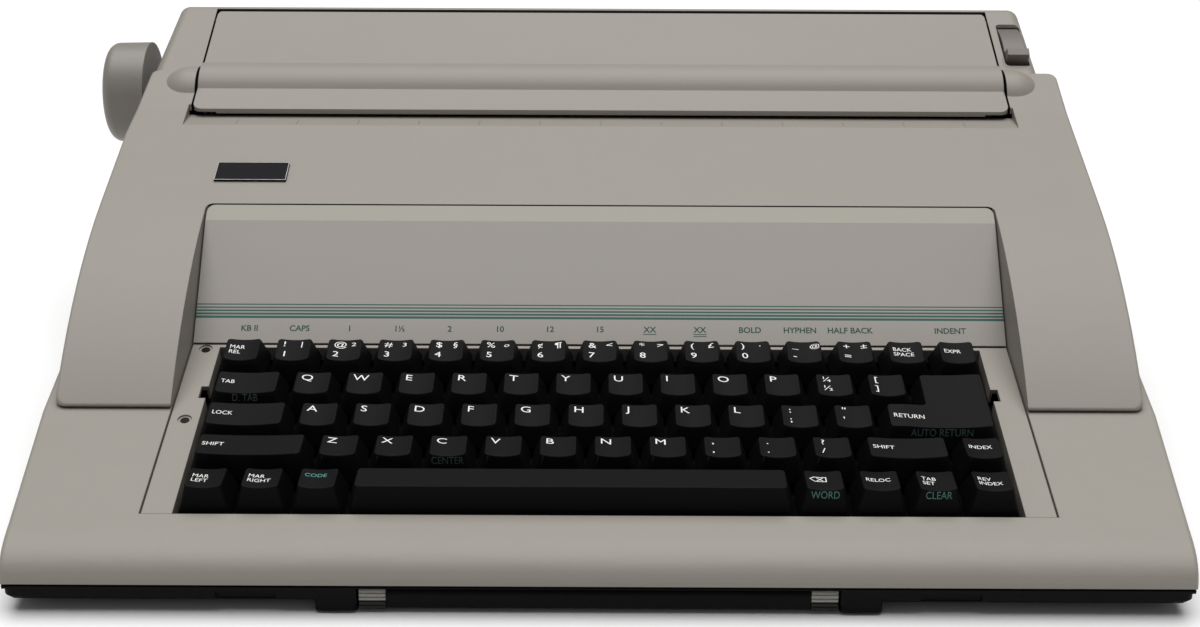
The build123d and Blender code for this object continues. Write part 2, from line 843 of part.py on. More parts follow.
with BuildPart() as indicator_lenses:
    with BuildSketch(keyboard(0, 0, -panel_thickness - 0.8)):
        with Locations(*lens_places):
            Circle(lens_radius + 0.6)
    extrude(amount=0.8)
    with BuildSketch(keyboard(0, 0, -panel_thickness)):
        with Locations(*lens_places):
            Circle(lens_radius)
    extrude(amount=panel_thickness - 1.0)
indicator_lenses.part.label = "indicator_lenses"
export_step(indicator_lenses.part, "parts/indicator_lenses.step")

with BuildPart() as stripe_panel:
    with BuildSketch(side(-half_bay + bay_gap)):
        with BuildLine():
            Polyline(*panel_line(0), *reversed(panel_line(panel_thickness)), close=True)
        make_face()
    extrude(amount=bay_width - 2 * bay_gap)
    with BuildSketch(level(0)):
        with Locations((0, bay_back / 2)):
            Rectangle(bay_width - 2 * bay_gap, bay_back - 2 * bay_gap)
        fillet(vertices().group_by(Axis.Y)[-1], radius=3)
    extrude(amount=2 * platen_z, mode=Mode.INTERSECT)
stripe_panel.part.label = "stripe_panel"
export_step(stripe_panel.part, "parts/stripe_panel.step")

deck_lean = radians(deck_slope)
badge_plane = Plane(
    origin=(mid_x + badge[0], front_y + badge[1], deck_height(badge[1])),
    x_dir=(1, 0, 0),
    z_dir=(0, -sin(deck_lean), cos(deck_lean)),
)
with BuildPart() as badge_plate:
    with BuildSketch(badge_plane):
        RectangleRounded(badge[2], badge[3], 0.6)
    extrude(amount=0.9)
    chamfer(badge_plate.faces().sort_by(Axis.Z)[-1].edges(), length=0.3)
badge_plate.part.label = "badge_plate"
export_step(badge_plate.part, "parts/badge_plate.step")

# Top cover with its ridge, turned down along the front, with a moulded pin each side

with BuildPart() as top_cover:
    with BuildSketch(side(-cover_half)):
        skin = cover_thickness / cos(radians(cover_slope))
        front = (cover_front, cover_height(cover_front))
        back = (cover_back, cover_height(cover_back))
        with BuildLine():
            Polyline(
                front,
                (back[0] - cover_bevel, back[1] - cover_bevel * rise(cover_slope)),
                (back[0], back[1] - cover_bevel),
                (back[0], back[1] - skin),
                (front[0] + cover_thickness, front[1] + cover_thickness * rise(cover_slope) - skin),
                (front[0] + cover_thickness, front[1] - ledge_drop + lip_gap),
                (front[0], front[1] - ledge_drop + lip_gap),
                close=True,
            )
        make_face()
        with BuildLine():
            bulge = (ridge_mid, cover_height(ridge_mid) + ridge_height / cos(radians(cover_slope)))
            start = (ridge_front, cover_height(ridge_front))
            end = (ridge_front + ridge_depth, cover_height(ridge_front + ridge_depth))
            ThreePointArc(start, bulge, end)
            Line(end, start)
        make_face()
    extrude(amount=cover_width)
    with BuildSketch(level(0)):
        with Locations((0, (cover_front + cover_back) / 2)):
            RectangleRounded(cover_width, cover_back - cover_front, cover_corner)
    extrude(amount=2 * platen_z, mode=Mode.INTERSECT)
    # Ears that carry the pins
    for ear_x in (-cover_half, cover_half - 2 * wall):
        with BuildSketch(side(ear_x)):
            with Locations((hinge_y, hinge_z)):
                Circle(2 * cover_pin_radius)
            with BuildLine():
                Polyline(
                    (hinge_y - 8, cover_height(hinge_y - 8) - 1),
                    (hinge_y + 1, cover_height(hinge_y + 1) - 1),
                    (hinge_y, hinge_z - 2 * cover_pin_radius),
                    (hinge_y - 4, hinge_z - 2 * cover_pin_radius),
                    close=True,
                )
            make_face()
        extrude(amount=2 * wall)
    for end in (-1, 1):
        with BuildSketch(side(end * (cover_half - wall))):
            with Locations((hinge_y, hinge_z)):
                Circle(cover_pin_radius)
        extrude(amount=end * (2 * wall + cover_gap + pin_reach))
    # The front face stops short of the corners, above the ledge
    for end in (-1, 1):
        with BuildSketch(level(0)):
            with Locations((end * (cover_half - notch_length / 2), cover_front + cover_thickness / 2)):
                Rectangle(notch_length, cover_thickness + 1)
        extrude(amount=cover_height(cover_front) - notch_top, mode=Mode.SUBTRACT)
top_cover.part.label = "top_cover"
export_step(top_cover.part, "parts/top_cover.step")

# Keys: caps on a stem, standing square to the keyboard's slope


def row_along(row):
    """Place of a row up the slope. Row 1 is the one at the back."""
    return first_row + (row_count - row) * key_pitch


def cap_top(width):
    """Corners of a cap's top face."""
    half = (width * key_pitch - key_gap) / 2 - key_taper / 2
    return (half, key_size / 2 - key_taper_front, key_size / 2 - key_taper_back)


def key_stem():
    """Square stem under a cap, reaching into its switch."""
    with BuildPart(mode=Mode.PRIVATE) as stem:
        with BuildSketch(Plane.XY.offset(stem_foot)):
            Rectangle(stem_size, stem_size)
        extrude(amount=key_base - stem_foot + 1)
    return stem.part


def cap_planes(row):
    """Plane of a cap's top, leaning back in the front rows, and one square across it."""
    lean = radians(top_leans[row - 1])
    centre = (0, 0, top_heights[row - 1])
    top = Plane(origin=centre, x_dir=(1, 0, 0), z_dir=(0, sin(lean), cos(lean)))
    across = Plane(origin=centre, x_dir=(1, 0, 0), z_dir=(0, -cos(lean), sin(lean)))
    return top, across


def plain_cap(width, row, dish=0.9):
    """Square-based cap with a hollowed top, as wide as so many key places."""
    half, front, back = cap_top(width)
    top, across = cap_planes(row)
    with BuildPart(mode=Mode.PRIVATE) as cap:
        with BuildSketch(Plane.XY.offset(key_base)):
            Rectangle(width * key_pitch - key_gap, key_size)
        with BuildSketch(top):
            with Locations((0, (back - front) / 2)):
                Rectangle(2 * half, front + back)
        loft()
        fillet(cap.edges().filter_by(lambda e: abs(e.tangent_at(0.5).Z) > 0.5), radius=1.6)
        if dish > 0:
            hollow = (half**2 + dish**2) / (2 * dish)
            with BuildSketch(across.offset(-key_size)):
                with Locations((0, hollow - dish)):
                    Circle(hollow)
            extrude(amount=2 * key_size, mode=Mode.SUBTRACT)
        rim = cap.faces().sort_by(Axis.Z)[-1].edges()
        fillet(rim, radius=0.45)
        add(key_stem())
    return cap.part


def key_at(cap, x, row):
    """A cap set at its place on the keyboard."""
    return keyboard(x, row_along(row), 0).location * cap


number_xs = [(n - 8) * key_pitch for n in range(2, 14)]
upper_xs = [(n - 5.5) * key_pitch for n in range(12)]
home_xs = [(n - 5.25) * key_pitch for n in range(11)]
lower_xs = [(n - 4.75) * key_pitch for n in range(10)]

for group_name, group_xs, group_row in (
    ("number_keys", number_xs, 1),
    ("upper_letter_keys", upper_xs, 2),
    ("home_letter_keys", home_xs, 3),
    ("lower_letter_keys", lower_xs, 4),
):
    unit_cap = plain_cap(1, group_row)
    with BuildPart() as letter_keys:
        for key_x in group_xs:
            add(key_at(unit_cap, key_x, group_row))
    letter_keys.part.label = group_name
    export_step(letter_keys.part, f"parts/{group_name}.step")

single_keys = {
    "margin_release_key": (1, -7 * key_pitch, 1),
    "backspace_key": (1, 6 * key_pitch, 1),
    "express_key": (1, 7 * key_pitch, 1),
    "tab_key": (1.5, -6.75 * key_pitch, 2),
    "lock_key": (1.75, -6.625 * key_pitch, 3),
    "left_shift_key": (2.25, -6.375 * key_pitch, 4),
    "right_shift_key": (1.75, 5.625 * key_pitch, 4),
    "index_key": (1, 7 * key_pitch, 4),
    "left_margin_key": (1, -7 * key_pitch, 5),
    "right_margin_key": (1, -6 * key_pitch, 5),
    "code_key": (1, -5 * key_pitch, 5),
    "correct_key": (1, 4 * key_pitch, 5),
    "relocate_key": (1, 5 * key_pitch, 5),
    "tab_set_key": (1, 6 * key_pitch, 5),
    "reverse_index_key": (1, 7 * key_pitch, 5),
}
for key_name, (key_width, key_x, key_row) in single_keys.items():
    with BuildPart() as single_key:
        add(key_at(plain_cap(key_width, key_row, 0.9 if key_width < 2 else 0.7), key_x, key_row))
    single_key.part.label = key_name
    export_step(single_key.part, f"parts/{key_name}.step")

space_x = -0.5 * key_pitch
with BuildPart() as space_cap:
    add(plain_cap(space_width, 5, 0))
    for stem_x in (-50, 50):
        with Locations((stem_x, 0, stem_foot)):
            Box(
                stem_size,
                stem_size,
                key_base - stem_foot + 0.5,
                align=(Align.CENTER, Align.CENTER, Align.MIN),
            )
with BuildPart() as space_bar:
    add(key_at(space_cap.part, space_x, 5))
space_bar.part.label = "space_bar"
export_step(space_bar.part, "parts/space_bar.step")

# Carriage return: one tall cap over rows two and three, wider at its foot
return_right = 7.5 * key_pitch
return_x = return_right - return_widths[0] * key_pitch / 2


def return_outline(cut, front_cut, back_cut):
    """Outline of the return cap, drawn in by its taper."""
    left = [return_right - width * key_pitch + key_gap / 2 + cut - return_x for width in return_widths]
    right = return_right - key_gap / 2 - cut - return_x
    foot = -key_size / 2 + front_cut
    step = key_pitch / 2 - back_cut + 0.5
    head = key_pitch + key_size / 2 - back_cut
    with BuildLine() as path:
        Polyline(
            (left[0], foot),
            (right, foot),
            (right, head),
            (left[1], head),
            (left[1], step),
            (left[0], step),
            close=True,
        )
    make_face(path.edges())


with BuildPart() as return_cap:
    with BuildSketch(Plane.XY.offset(key_base)):
        return_outline(0, 0, 1)
    return_top = top_heights[return_row - 1]
    with BuildSketch(Plane.XY.offset(return_top)):
        return_outline(key_taper / 2, key_taper_front, key_taper_back + 1)
    loft(ruled=True)
    return_sides = return_cap.edges().filter_by(lambda e: abs(e.tangent_at(0.5).Z) > 0.5)
    fillet(return_sides, radius=1.4)
    return_hollow = 150
    with BuildSketch(Plane.XZ.offset(-2.5 * key_size)):
        with Locations((2, return_top + return_hollow - 0.7)):
            Circle(return_hollow)
    extrude(amount=4 * key_size, mode=Mode.SUBTRACT)
    add(key_stem())
with BuildPart() as return_key:
    add(key_at(return_cap.part, return_x, return_row))
return_key.part.label = "return_key"
export_step(return_key.part, "parts/return_key.step")

# Under the keys: a steel plate, the switches and their circuit board

stem_places = [(x, row_along(1)) for x in number_xs]
stem_places += [(x, row_along(2)) for x in upper_xs]
stem_places += [(x, row_along(3)) for x in home_xs]
stem_places += [(x, row_along(4)) for x in lower_xs]
stem_places += [(x, row_along(row)) for _, x, row in single_keys.values()]
stem_places += [(return_x, row_along(return_row))]
space_stems = [(space_x + x, row_along(5)) for x in (-50, 0, 50)]
plate_middle = first_row + row_span / 2
plate_half = (leg_places[-1][0] + 4, row_span / 2 + key_size / 2 - 1)

with BuildPart() as keyboard_plate:
    with BuildSketch(keyboard(0, plate_middle, -plate_depth)):
        Rectangle(2 * plate_half[0], 2 * plate_half[1])
    extrude(amount=-plate_thickness)
    with BuildSketch(keyboard(0, 0, -plate_depth)):
        with Locations(*stem_places, *space_stems):
            Rectangle(stem_size + 2 * stem_gap, stem_size + 2 * stem_gap)
    extrude(amount=-plate_thickness, mode=Mode.SUBTRACT)
keyboard_plate.part.label = "keyboard_plate"
export_step(keyboard_plate.part, "parts/keyboard_plate.step")

with BuildPart() as keyboard_board:
    with BuildSketch(keyboard(0, 0, -plate_depth - plate_thickness)):
        with Locations(*stem_places, *space_stems):
            Rectangle(switch_size, switch_size)
        with Locations(*stem_places, *space_stems):
            Rectangle(stem_size + 2 * stem_gap, stem_size + 2 * stem_gap, mode=Mode.SUBTRACT)
    extrude(amount=-switch_height)
    with BuildSketch(keyboard(0, plate_middle, -plate_depth - plate_thickness - switch_height)):
        Rectangle(2 * plate_half[0] - 16, 2 * plate_half[1] - 2)
    extrude(amount=-board_thickness)
keyboard_board.part.label = "keyboard_board"
export_step(keyboard_board.part, "parts/keyboard_board.step")

# Frame of the printer: two side plates joined by the guide rails and a tie rod

rail_z = seam_height + rail_rise
rail_places = [(rail_front_y, rail_z), (rail_rear_y, rail_z), (286.0, 40.0)]
gear_x = -(plate_x + side_plate + gear_gap)


def mesh_distance(teeth_a, teeth_b):
    """Distance between the centres of two gears in mesh."""
    return gear_module * (teeth_a + teeth_b) / 2 + running_gap


platen_centre = (platen_y, platen_z)
idler_centre = polar(platen_centre, mesh_distance(platen_teeth, idler_teeth), idler_angle)
pinion_centre = polar(idler_centre, mesh_distance(idler_teeth, pinion_teeth), pinion_angle)
feed_centre = polar(platen_centre, platen_radius + feed_radius + 0.3, 250.0)

with BuildPart() as side_plates:
    for plate_start in (-plate_x - side_plate, plate_x):
        with BuildSketch(side(plate_start)):
            with BuildLine():
                Polyline(
                    (200, floor_top),
                    (298, floor_top),
                    (298, 86),
                    (288, 103),
                    (262, 103),
                    (240, 72),
                    (200, 72),
                    close=True,
                )
            make_face()
            fillet(vertices(), radius=3)
            with Locations(platen_centre):
                Circle(shaft_radius + running_gap, mode=Mode.SUBTRACT)
            with Locations(feed_centre):
                Circle(feed_shaft_radius + running_gap, mode=Mode.SUBTRACT)
            with Locations(pinion_centre):
                Circle(pin_radius + 0.6, mode=Mode.SUBTRACT)
        extrude(amount=side_plate)
    # Stub pins: one for the idler gear, one for the paper release
    with BuildSketch(side(-plate_x - side_plate / 2)):
        with Locations(idler_centre):
            Circle(pin_radius)
    extrude(amount=-(side_plate / 2 + gear_gap + gear_width + 1))
    with BuildSketch(side(plate_x + side_plate / 2)):
        with Locations(lever_pivot):
            Circle(pin_radius)
    extrude(amount=lever_slot[0] + lever_slot[2] - plate_x - side_plate)
side_plates.part.label = "side_plates"
export_step(side_plates.part, "parts/side_plates.step")

with BuildPart() as guide_rails:
    with BuildSketch(side(-plate_x)):
        with Locations(*rail_places):
            Circle(rail_radius)
    extrude(amount=2 * plate_x)
guide_rails.part.label = "guide_rails"
export_step(guide_rails.part, "parts/guide_rails.step")


# Platen, its knob and the gears that turn it


def gear_outline(centre, teeth, turn):
    """Toothed wheel with a little play between its teeth and their gaps."""
    pitch = gear_module * teeth / 2
    root = pitch - 0.95 * gear_module
    tip = pitch + 0.6 * gear_module
    half_root = 0.98 * gear_module
    half_tip = 0.42 * gear_module
    with Locations(centre):
        Circle(root)
    with BuildLine() as path:
        Polyline(
            (root - 0.5, -half_root),
            (tip, -half_tip),
            (tip, half_tip),
            (root - 0.5, half_root),
            close=True,
        )
    with Locations(centre):
        with PolarLocations(0, teeth, start_angle=turn):
            add(Face(Wire(path.edges())))


with BuildPart() as platen_shaft:
    with BuildSketch(side(-knob_end + 6)):
        with Locations(platen_centre):
            Circle(shaft_radius)
    extrude(amount=knob_end - 6 + plate_x + side_plate + 4)
    with BuildSketch(side(gear_x)):
        gear_outline(platen_centre, platen_teeth, idler_angle)
    extrude(amount=-gear_width)
platen_shaft.part.label = "platen_shaft"
export_step(platen_shaft.part, "parts/platen_shaft.step")

with BuildPart() as platen_roller:
    with BuildSketch(side(-platen_length / 2)):
        with Locations(platen_centre):
            Circle(platen_radius)
            Circle(shaft_radius + 0.02, mode=Mode.SUBTRACT)
    extrude(amount=platen_length)
platen_roller.part.label = "platen_roller"
export_step(platen_roller.part, "parts/platen_roller.step")

with BuildPart() as platen_knob:
    with BuildSketch(side(-half_arms - knob_gap)):
        with Locations(platen_centre):
            Circle(knob_radius)
    extrude(amount=-(knob_end - half_arms - knob_gap), taper=1.2)
    fillet(platen_knob.edges().sort_by(Axis.X)[0], radius=4.5)
    with BuildSketch(side(-rear_left)):
        with Locations(platen_centre):
            Circle(shaft_radius + 0.02)
    extrude(amount=-(knob_end - 6 - rear_left), mode=Mode.SUBTRACT)
platen_knob.part.label = "platen_knob"
export_step(platen_knob.part, "parts/platen_knob.step")

with BuildPart() as idler_gear:
    with BuildSketch(side(gear_x)):
        gear_outline(idler_centre, idler_teeth, idler_angle + 180 + 180 / idler_teeth)
        with Locations(idler_centre):
            Circle(pin_radius + running_gap, mode=Mode.SUBTRACT)
    extrude(amount=-gear_width)
idler_gear.part.label = "idler_gear"
export_step(idler_gear.part, "parts/idler_gear.step")

# The idler's teeth leave this much turn between a tooth and the line to the pinion
idler_phase = (pinion_angle - idler_angle - 180 - 180 / idler_teeth) % (360 / idler_teeth)
pinion_turn = pinion_angle + 180 + (idler_phase * idler_teeth / pinion_teeth) + 180 / pinion_teeth

with BuildPart() as feed_pinion:
    with BuildSketch(side(gear_x)):
        gear_outline(pinion_centre, pinion_teeth, pinion_turn)
    extrude(amount=-gear_width)
    with BuildSketch(side(gear_x)):
        with Locations(pinion_centre):
            Circle(pin_radius)
    extrude(amount=gear_gap + side_plate + 6)
feed_pinion.part.label = "feed_pinion"
export_step(feed_pinion.part, "parts/feed_pinion.step")

with BuildPart() as line_feed_motor:
    with BuildSketch(side(-plate_x)):
        with Locations(pinion_centre):
            Circle(motor_radius)
            Circle(pin_radius + running_gap, mode=Mode.SUBTRACT)
    extrude(amount=motor_depth)
line_feed_motor.part.label = "line_feed_motor"
export_step(line_feed_motor.part, "parts/line_feed_motor.step")


with BuildPart() as feed_roller:
    with BuildSketch(side(-plate_x - side_plate)):
        with Locations(feed_centre):
            Circle(feed_shaft_radius)
    extrude(amount=2 * (plate_x + side_plate))
    for roller_x in feed_roller_xs:
        with BuildSketch(side(roller_x - feed_roller_length / 2)):
            with Locations(feed_centre):
                Circle(feed_radius)
        extrude(amount=feed_roller_length)
feed_roller.part.label = "feed_roller"
export_step(feed_roller.part, "parts/feed_roller.step")

pan_radius = platen_radius + 1.2

with BuildPart() as paper_pan:
    with BuildSketch(side(-plate_x)):
        with Locations(platen_centre):
            Circle(pan_radius + pan_thickness)
            Circle(pan_radius, mode=Mode.SUBTRACT)
        with Locations((platen_y, platen_z + 2 * platen_radius - 6)):
            Rectangle(6 * platen_radius, 4 * platen_radius, mode=Mode.SUBTRACT)
    extrude(amount=2 * plate_x)
    for roller_x in feed_roller_xs:
        with BuildSketch(side(roller_x - feed_roller_length / 2 - 1.5)):
            with Locations(feed_centre):
                Circle(feed_radius + 1)
        extrude(amount=feed_roller_length + 3, mode=Mode.SUBTRACT)
paper_pan.part.label = "paper_pan"
export_step(paper_pan.part, "parts/paper_pan.step")

lever_width = lever_slot[2] - 2 * lever_gap
lever_start = lever_slot[0] + lever_gap

with BuildPart() as release_lever:
    with BuildSketch(side(lever_start)):
        with Locations(lever_pivot):
            Circle(lever_radius)
            Circle(lever_radius - lever_thickness, mode=Mode.SUBTRACT)
        with BuildLine():
            Polyline(
                lever_pivot,
                polar(lever_pivot, 2 * lever_radius, lever_front),
                polar(lever_pivot, 2 * lever_radius, lever_back),
                close=True,
            )
        make_face(mode=Mode.INTERSECT)
        with BuildLine():
            Polyline(
                polar(lever_pivot, lever_radius - lever_thickness, lever_front),
                polar(lever_pivot, lever_radius + 5, lever_front - 2.5),
                polar(lever_pivot, lever_radius + 5, lever_front - 7.5),
                polar(lever_pivot, lever_radius - 1, lever_front - 12),
                close=True,
            )
        make_face()
    extrude(amount=lever_width)
    with BuildSketch(side(lever_start + 3)):
        with BuildLine():
            Polyline(
                lever_pivot,
                polar(lever_pivot, lever_radius - 1.2, lever_front - 1),
                polar(lever_pivot, lever_radius - 1.2, lever_lean - 28),
                close=True,
            )
        make_face()
    extrude(amount=3)
    with BuildSketch(side(lever_start)):
        with Locations(lever_pivot):
            Circle(5)
    extrude(amount=lever_width)
    with BuildSketch(side(lever_start)):
        with Locations(lever_pivot):
            Circle(pin_radius + running_gap)
    extrude(amount=lever_width, mode=Mode.SUBTRACT)
release_lever.part.label = "release_lever"
export_step(release_lever.part, "parts/release_lever.step")

# Carriage: frame on the rails with the type wheel, hammer, ribbon and tape

block_bottom = rail_z - 6.5
block_top = rail_z + 6.5
wheel_z = seam_height + 49.5
bridge_bottom = cassette_bottom + cassette_height + 0.3
pulley_x = carriage_travel + cheek_x + 6

with BuildPart() as carriage_frame:
    with BuildSketch(level(block_bottom)):
        with Locations((0, (block_front + block_back) / 2)):
            Rectangle(2 * (cheek_x + cheek_thickness), block_back - block_front)
    extrude(amount=block_top - block_bottom)
    with BuildSketch(side(-cheek_x - cheek_thickness)):
        with Locations(*rail_places[:2]):
            Circle(rail_radius + running_gap)
    extrude(amount=2 * (cheek_x + cheek_thickness), mode=Mode.SUBTRACT)
    # Cheeks, with a ledge for the cassette and a bridge for the hammer's coil
    for end in (-1, 1):
        with BuildSketch(side(end * cheek_x)):
            with BuildLine():
                Polyline(
                    (block_front + 6, block_top - 1),
                    (block_back, block_top - 1),
                    (block_back, cassette_bottom + 6),
                    (coil_back, bridge_bottom + bridge_thickness),
                    (coil_front, bridge_bottom + bridge_thickness),
                    (coil_front - 6, cassette_bottom + 4),
                    (block_front + 6, cassette_bottom + 4),
                    close=True,
                )
            make_face()
        extrude(amount=end * cheek_thickness)
        with BuildSketch(level(cassette_bottom - 1.5)):
            with Locations((end * (cheek_x - 1), (block_front + block_back) / 2)):
                Rectangle(3, 24)
        extrude(amount=1.5)
    with BuildSketch(level(bridge_bottom)):
        with Locations((0, (coil_front + coil_back) / 2)):
            Rectangle(2 * cheek_x + 1, coil_back - coil_front)
    extrude(amount=bridge_thickness)
    with BuildSketch(upright(coil_back)):
        with Locations((0, platen_z)):
            Rectangle(14, 7.4)
            Circle(hammer_radius + running_gap, mode=Mode.SUBTRACT)
        with Locations((0, (bridge_bottom + platen_z) / 2 - hammer_radius)):
            Rectangle(14, platen_z - bridge_bottom - 2 * hammer_radius)
    extrude(amount=coil_back - coil_front)
    # Upright that holds the type wheel's motor and the tape spools' pins
    with BuildSketch(upright(upright_y + upright_thickness)):
        with Locations((0, (block_top + wheel_z + 8) / 2 - 1)):
            Rectangle(2 * cheek_x + 1, wheel_z + 8 - block_top)
        with Locations((0, wheel_z)):
            Circle(wheel_motor_radius + 0.1, mode=Mode.SUBTRACT)
    extrude(amount=upright_thickness)
    with BuildSketch(upright(upright_y + upright_thickness / 2)):
        with Locations((-spool_x, spool_z), (spool_x, spool_z)):
            Circle(pin_radius)
    extrude(amount=-(upright_thickness / 2 + spool_width + 1.5))
    # Jaws on each side of the belt's rear run
    run_y = belt_y + belt_radius + belt_thickness / 2
    for jaw_y in (run_y - belt_thickness / 2 - 1.9, run_y + belt_thickness / 2 + 1.9):
        with BuildSketch(level(belt_bottom + 1)):
            with Locations((0, jaw_y)):
                Rectangle(16, 3)
        extrude(amount=block_bottom - belt_bottom - 1)
carriage_frame.part.label = "carriage_frame"
export_step(carriage_frame.part, "parts/carriage_frame.step")

with BuildPart() as wheel_motor:
    with BuildSketch(upright(wheel_motor_back)):
        with Locations((0, wheel_z)):
            Circle(wheel_motor_radius)
            Circle(pin_radius + running_gap, mode=Mode.SUBTRACT)
    extrude(amount=wheel_motor_back - wheel_motor_front)
wheel_motor.part.label = "wheel_motor"
export_step(wheel_motor.part, "parts/wheel_motor.step")

with BuildPart() as type_wheel:
    with BuildSketch(upright(wheel_y + wheel_thickness)):
        with Locations((0, wheel_z)):
            Circle(wheel_radius)
            with PolarLocations((wheel_radius + 13) / 2, petals):
                Rectangle(wheel_radius - 13, 0.9, mode=Mode.SUBTRACT)
    extrude(amount=wheel_thickness)
    with BuildSketch(upright(wheel_y)):
        with Locations((0, wheel_z)):
            Circle(7)
    extrude(amount=wheel_y - wheel_motor_back - 0.6)
    with BuildSketch(upright(wheel_y)):
        with Locations((0, wheel_z)):
            Circle(pin_radius)
    extrude(amount=wheel_y - wheel_motor_back + 14)
type_wheel.part.label = "type_wheel"
export_step(type_wheel.part, "parts/type_wheel.step")

with BuildPart() as hammer:
    with BuildSketch(upright(wheel_y - hammer_travel - 0.4)):
        with Locations((0, platen_z)):
            Circle(hammer_radius)
    extrude(amount=wheel_y - hammer_travel - 0.4 - coil_front - 1)
    with BuildSketch(upright(wheel_y - hammer_travel - 0.4)):
        with Locations((0, platen_z)):
            Circle(hammer_radius + 0.8)
    extrude(amount=2)
hammer.part.label = "hammer"
export_step(hammer.part, "parts/hammer.step")

cassette_half = cheek_x - 0.4

with BuildPart() as ribbon_cassette:
    with BuildSketch(level(cassette_bottom)):
        with Locations((0, (207 + coil_front) / 2)):
            RectangleRounded(2 * cassette_half, coil_front - 207, 4)
        for end in (-1, 1):
            with Locations((end * (cassette_half - cassette_arm / 2), (ribbon_y + coil_front - 8) / 2)):
                Rectangle(cassette_arm, ribbon_y - coil_front + 8)
    extrude(amount=cassette_height)
    with BuildSketch(level(cassette_bottom + 1)):
        with Locations((0, ribbon_y)):
            Rectangle(2 * cassette_half, 0.4)
    extrude(amount=cassette_height + 6)
ribbon_cassette.part.label = "ribbon_cassette"
export_step(ribbon_cassette.part, "parts/ribbon_cassette.step")

for spool_name, spool_side in (("left_tape_spool", -1), ("right_tape_spool", 1)):
    with BuildPart() as tape_spool:
        spool_back = upright_y + upright_thickness + 0.5 + spool_width
        spool_centre = (spool_side * spool_x, spool_z)
        with BuildSketch(upright(spool_back)):
            with Locations(spool_centre):
                Circle(spool_radius)
        extrude(amount=spool_width)
        with BuildSketch(upright(spool_back - 1)):
            with Locations(spool_centre):
                Circle(spool_radius + 1)
                Circle(spool_radius - 1.6, mode=Mode.SUBTRACT)
        extrude(amount=spool_width - 2, mode=Mode.SUBTRACT)
        with BuildSketch(upright(spool_back)):
            with Locations(spool_centre):
                Circle(pin_radius + running_gap)
        extrude(amount=spool_width, mode=Mode.SUBTRACT)
    tape_spool.part.label = spool_name
    export_step(tape_spool.part, f"parts/{spool_name}.step")

# Belt drive of the carriage

with BuildPart() as timing_belt:
    with BuildSketch(level(belt_bottom)):
        with Locations((0, belt_y)):
            SlotCenterToCenter(2 * pulley_x, 2 * (belt_radius + belt_thickness))
            SlotCenterToCenter(2 * pulley_x, 2 * belt_radius, mode=Mode.SUBTRACT)
    extrude(amount=belt_width)
timing_belt.part.label = "timing_belt"
export_step(timing_belt.part, "parts/timing_belt.step")

for pulley_name, pulley_side in (("drive_pulley", -1), ("return_pulley", 1)):
    with BuildPart() as pulley:
        with BuildSketch(level(belt_bottom)):
            with Locations((pulley_side * pulley_x, belt_y)):
                Circle(belt_radius - pulley_clearance)
                Circle(pin_radius + running_gap, mode=Mode.SUBTRACT)
        extrude(amount=belt_width)
    pulley.part.label = pulley_name
    export_step(pulley.part, f"parts/{pulley_name}.step")

with BuildPart() as carriage_motor:
    for pulley_side, pedestal in ((-1, 11.0), (1, 6.0)):
        with BuildSketch(level(floor_top)):
            with Locations((pulley_side * pulley_x, belt_y)):
                Circle(pedestal)
        extrude(amount=belt_bottom - floor_top - pulley_clearance)
        with BuildSketch(level(floor_top + 2)):
            with Locations((pulley_side * pulley_x, belt_y)):
                Circle(pin_radius)
        extrude(amount=belt_bottom + belt_width - floor_top)
carriage_motor.part.label = "carriage_motor"
export_step(carriage_motor.part, "parts/carriage_motor.step")

# Electronics and mains parts

with BuildPart() as main_board:
    board_z = floor_top + board_lift
    with BuildSketch(level(board_z)):
        with Locations((0, 163)):
            Rectangle(224, 64)
    extrude(amount=board_thickness)
    with BuildSketch(level(board_z + board_thickness)):
        with Locations((-60, 158), (-18, 158), (24, 158)):
            Rectangle(36, 14)
        with Locations((-60, 180), (-20, 180)):
            Rectangle(22, 8)
    extrude(amount=3.6)
    with BuildSketch(level(board_z + board_thickness)):
        with Locations((66, 150), (84, 150), (66, 172)):
            Circle(6)
    extrude(amount=16)
    with BuildSketch(level(board_z + board_thickness)):
        with Locations((92, 176)):
            Rectangle(28, 4)
    extrude(amount=22)
main_board.part.label = "main_board"
export_step(main_board.part, "parts/main_board.step")

with BuildPart() as transformer:
    with BuildSketch(level(floor_top)):
        with Locations((transformer_x, 320)):
            Rectangle(52, 22)
    extrude(amount=42)
    with BuildSketch(level(floor_top + 8)):
        with Locations((transformer_x, 320)):
            RectangleRounded(34, 36, 5)
    extrude(amount=26)
transformer.part.label = "transformer"
export_step(transformer.part, "parts/transformer.step")

rocker_x = inlet_place[0] + 12
rocker_pivot_y = case_depth - 7
socket_x = inlet_place[0] - 12

with BuildPart() as mains_inlet:
    with BuildSketch(upright(case_depth)):
        with Locations(inlet_place):
            Rectangle(*inlet_size)
    extrude(amount=inlet_depth)
    with BuildSketch(upright(case_depth)):
        with Locations((socket_x, inlet_place[1])):
            SlotOverall(*socket_size)
    extrude(amount=socket_depth, mode=Mode.SUBTRACT)
    with BuildSketch(upright(case_depth)):
        with Locations((rocker_x, inlet_place[1])):
            Rectangle(rocker_size[0] + 2 * rocker_gap, rocker_size[1] + 0.8)
    extrude(amount=15, mode=Mode.SUBTRACT)
    with BuildSketch(level(inlet_place[1] - rocker_size[1] / 2 - rocker_pin_reach - 0.2)):
        with Locations((rocker_x, rocker_pivot_y)):
            Circle(rocker_pin + running_gap)
    extrude(amount=rocker_size[1] + 2 * rocker_pin_reach + 0.4, mode=Mode.SUBTRACT)
    with BuildSketch(upright(case_depth - 2)):
        with Locations((socket_x - 4.3, inlet_place[1]), (socket_x + 4.3, inlet_place[1])):
            Circle(1.2)
    extrude(amount=socket_depth)
mains_inlet.part.label = "mains_inlet"
export_step(mains_inlet.part, "parts/mains_inlet.step")

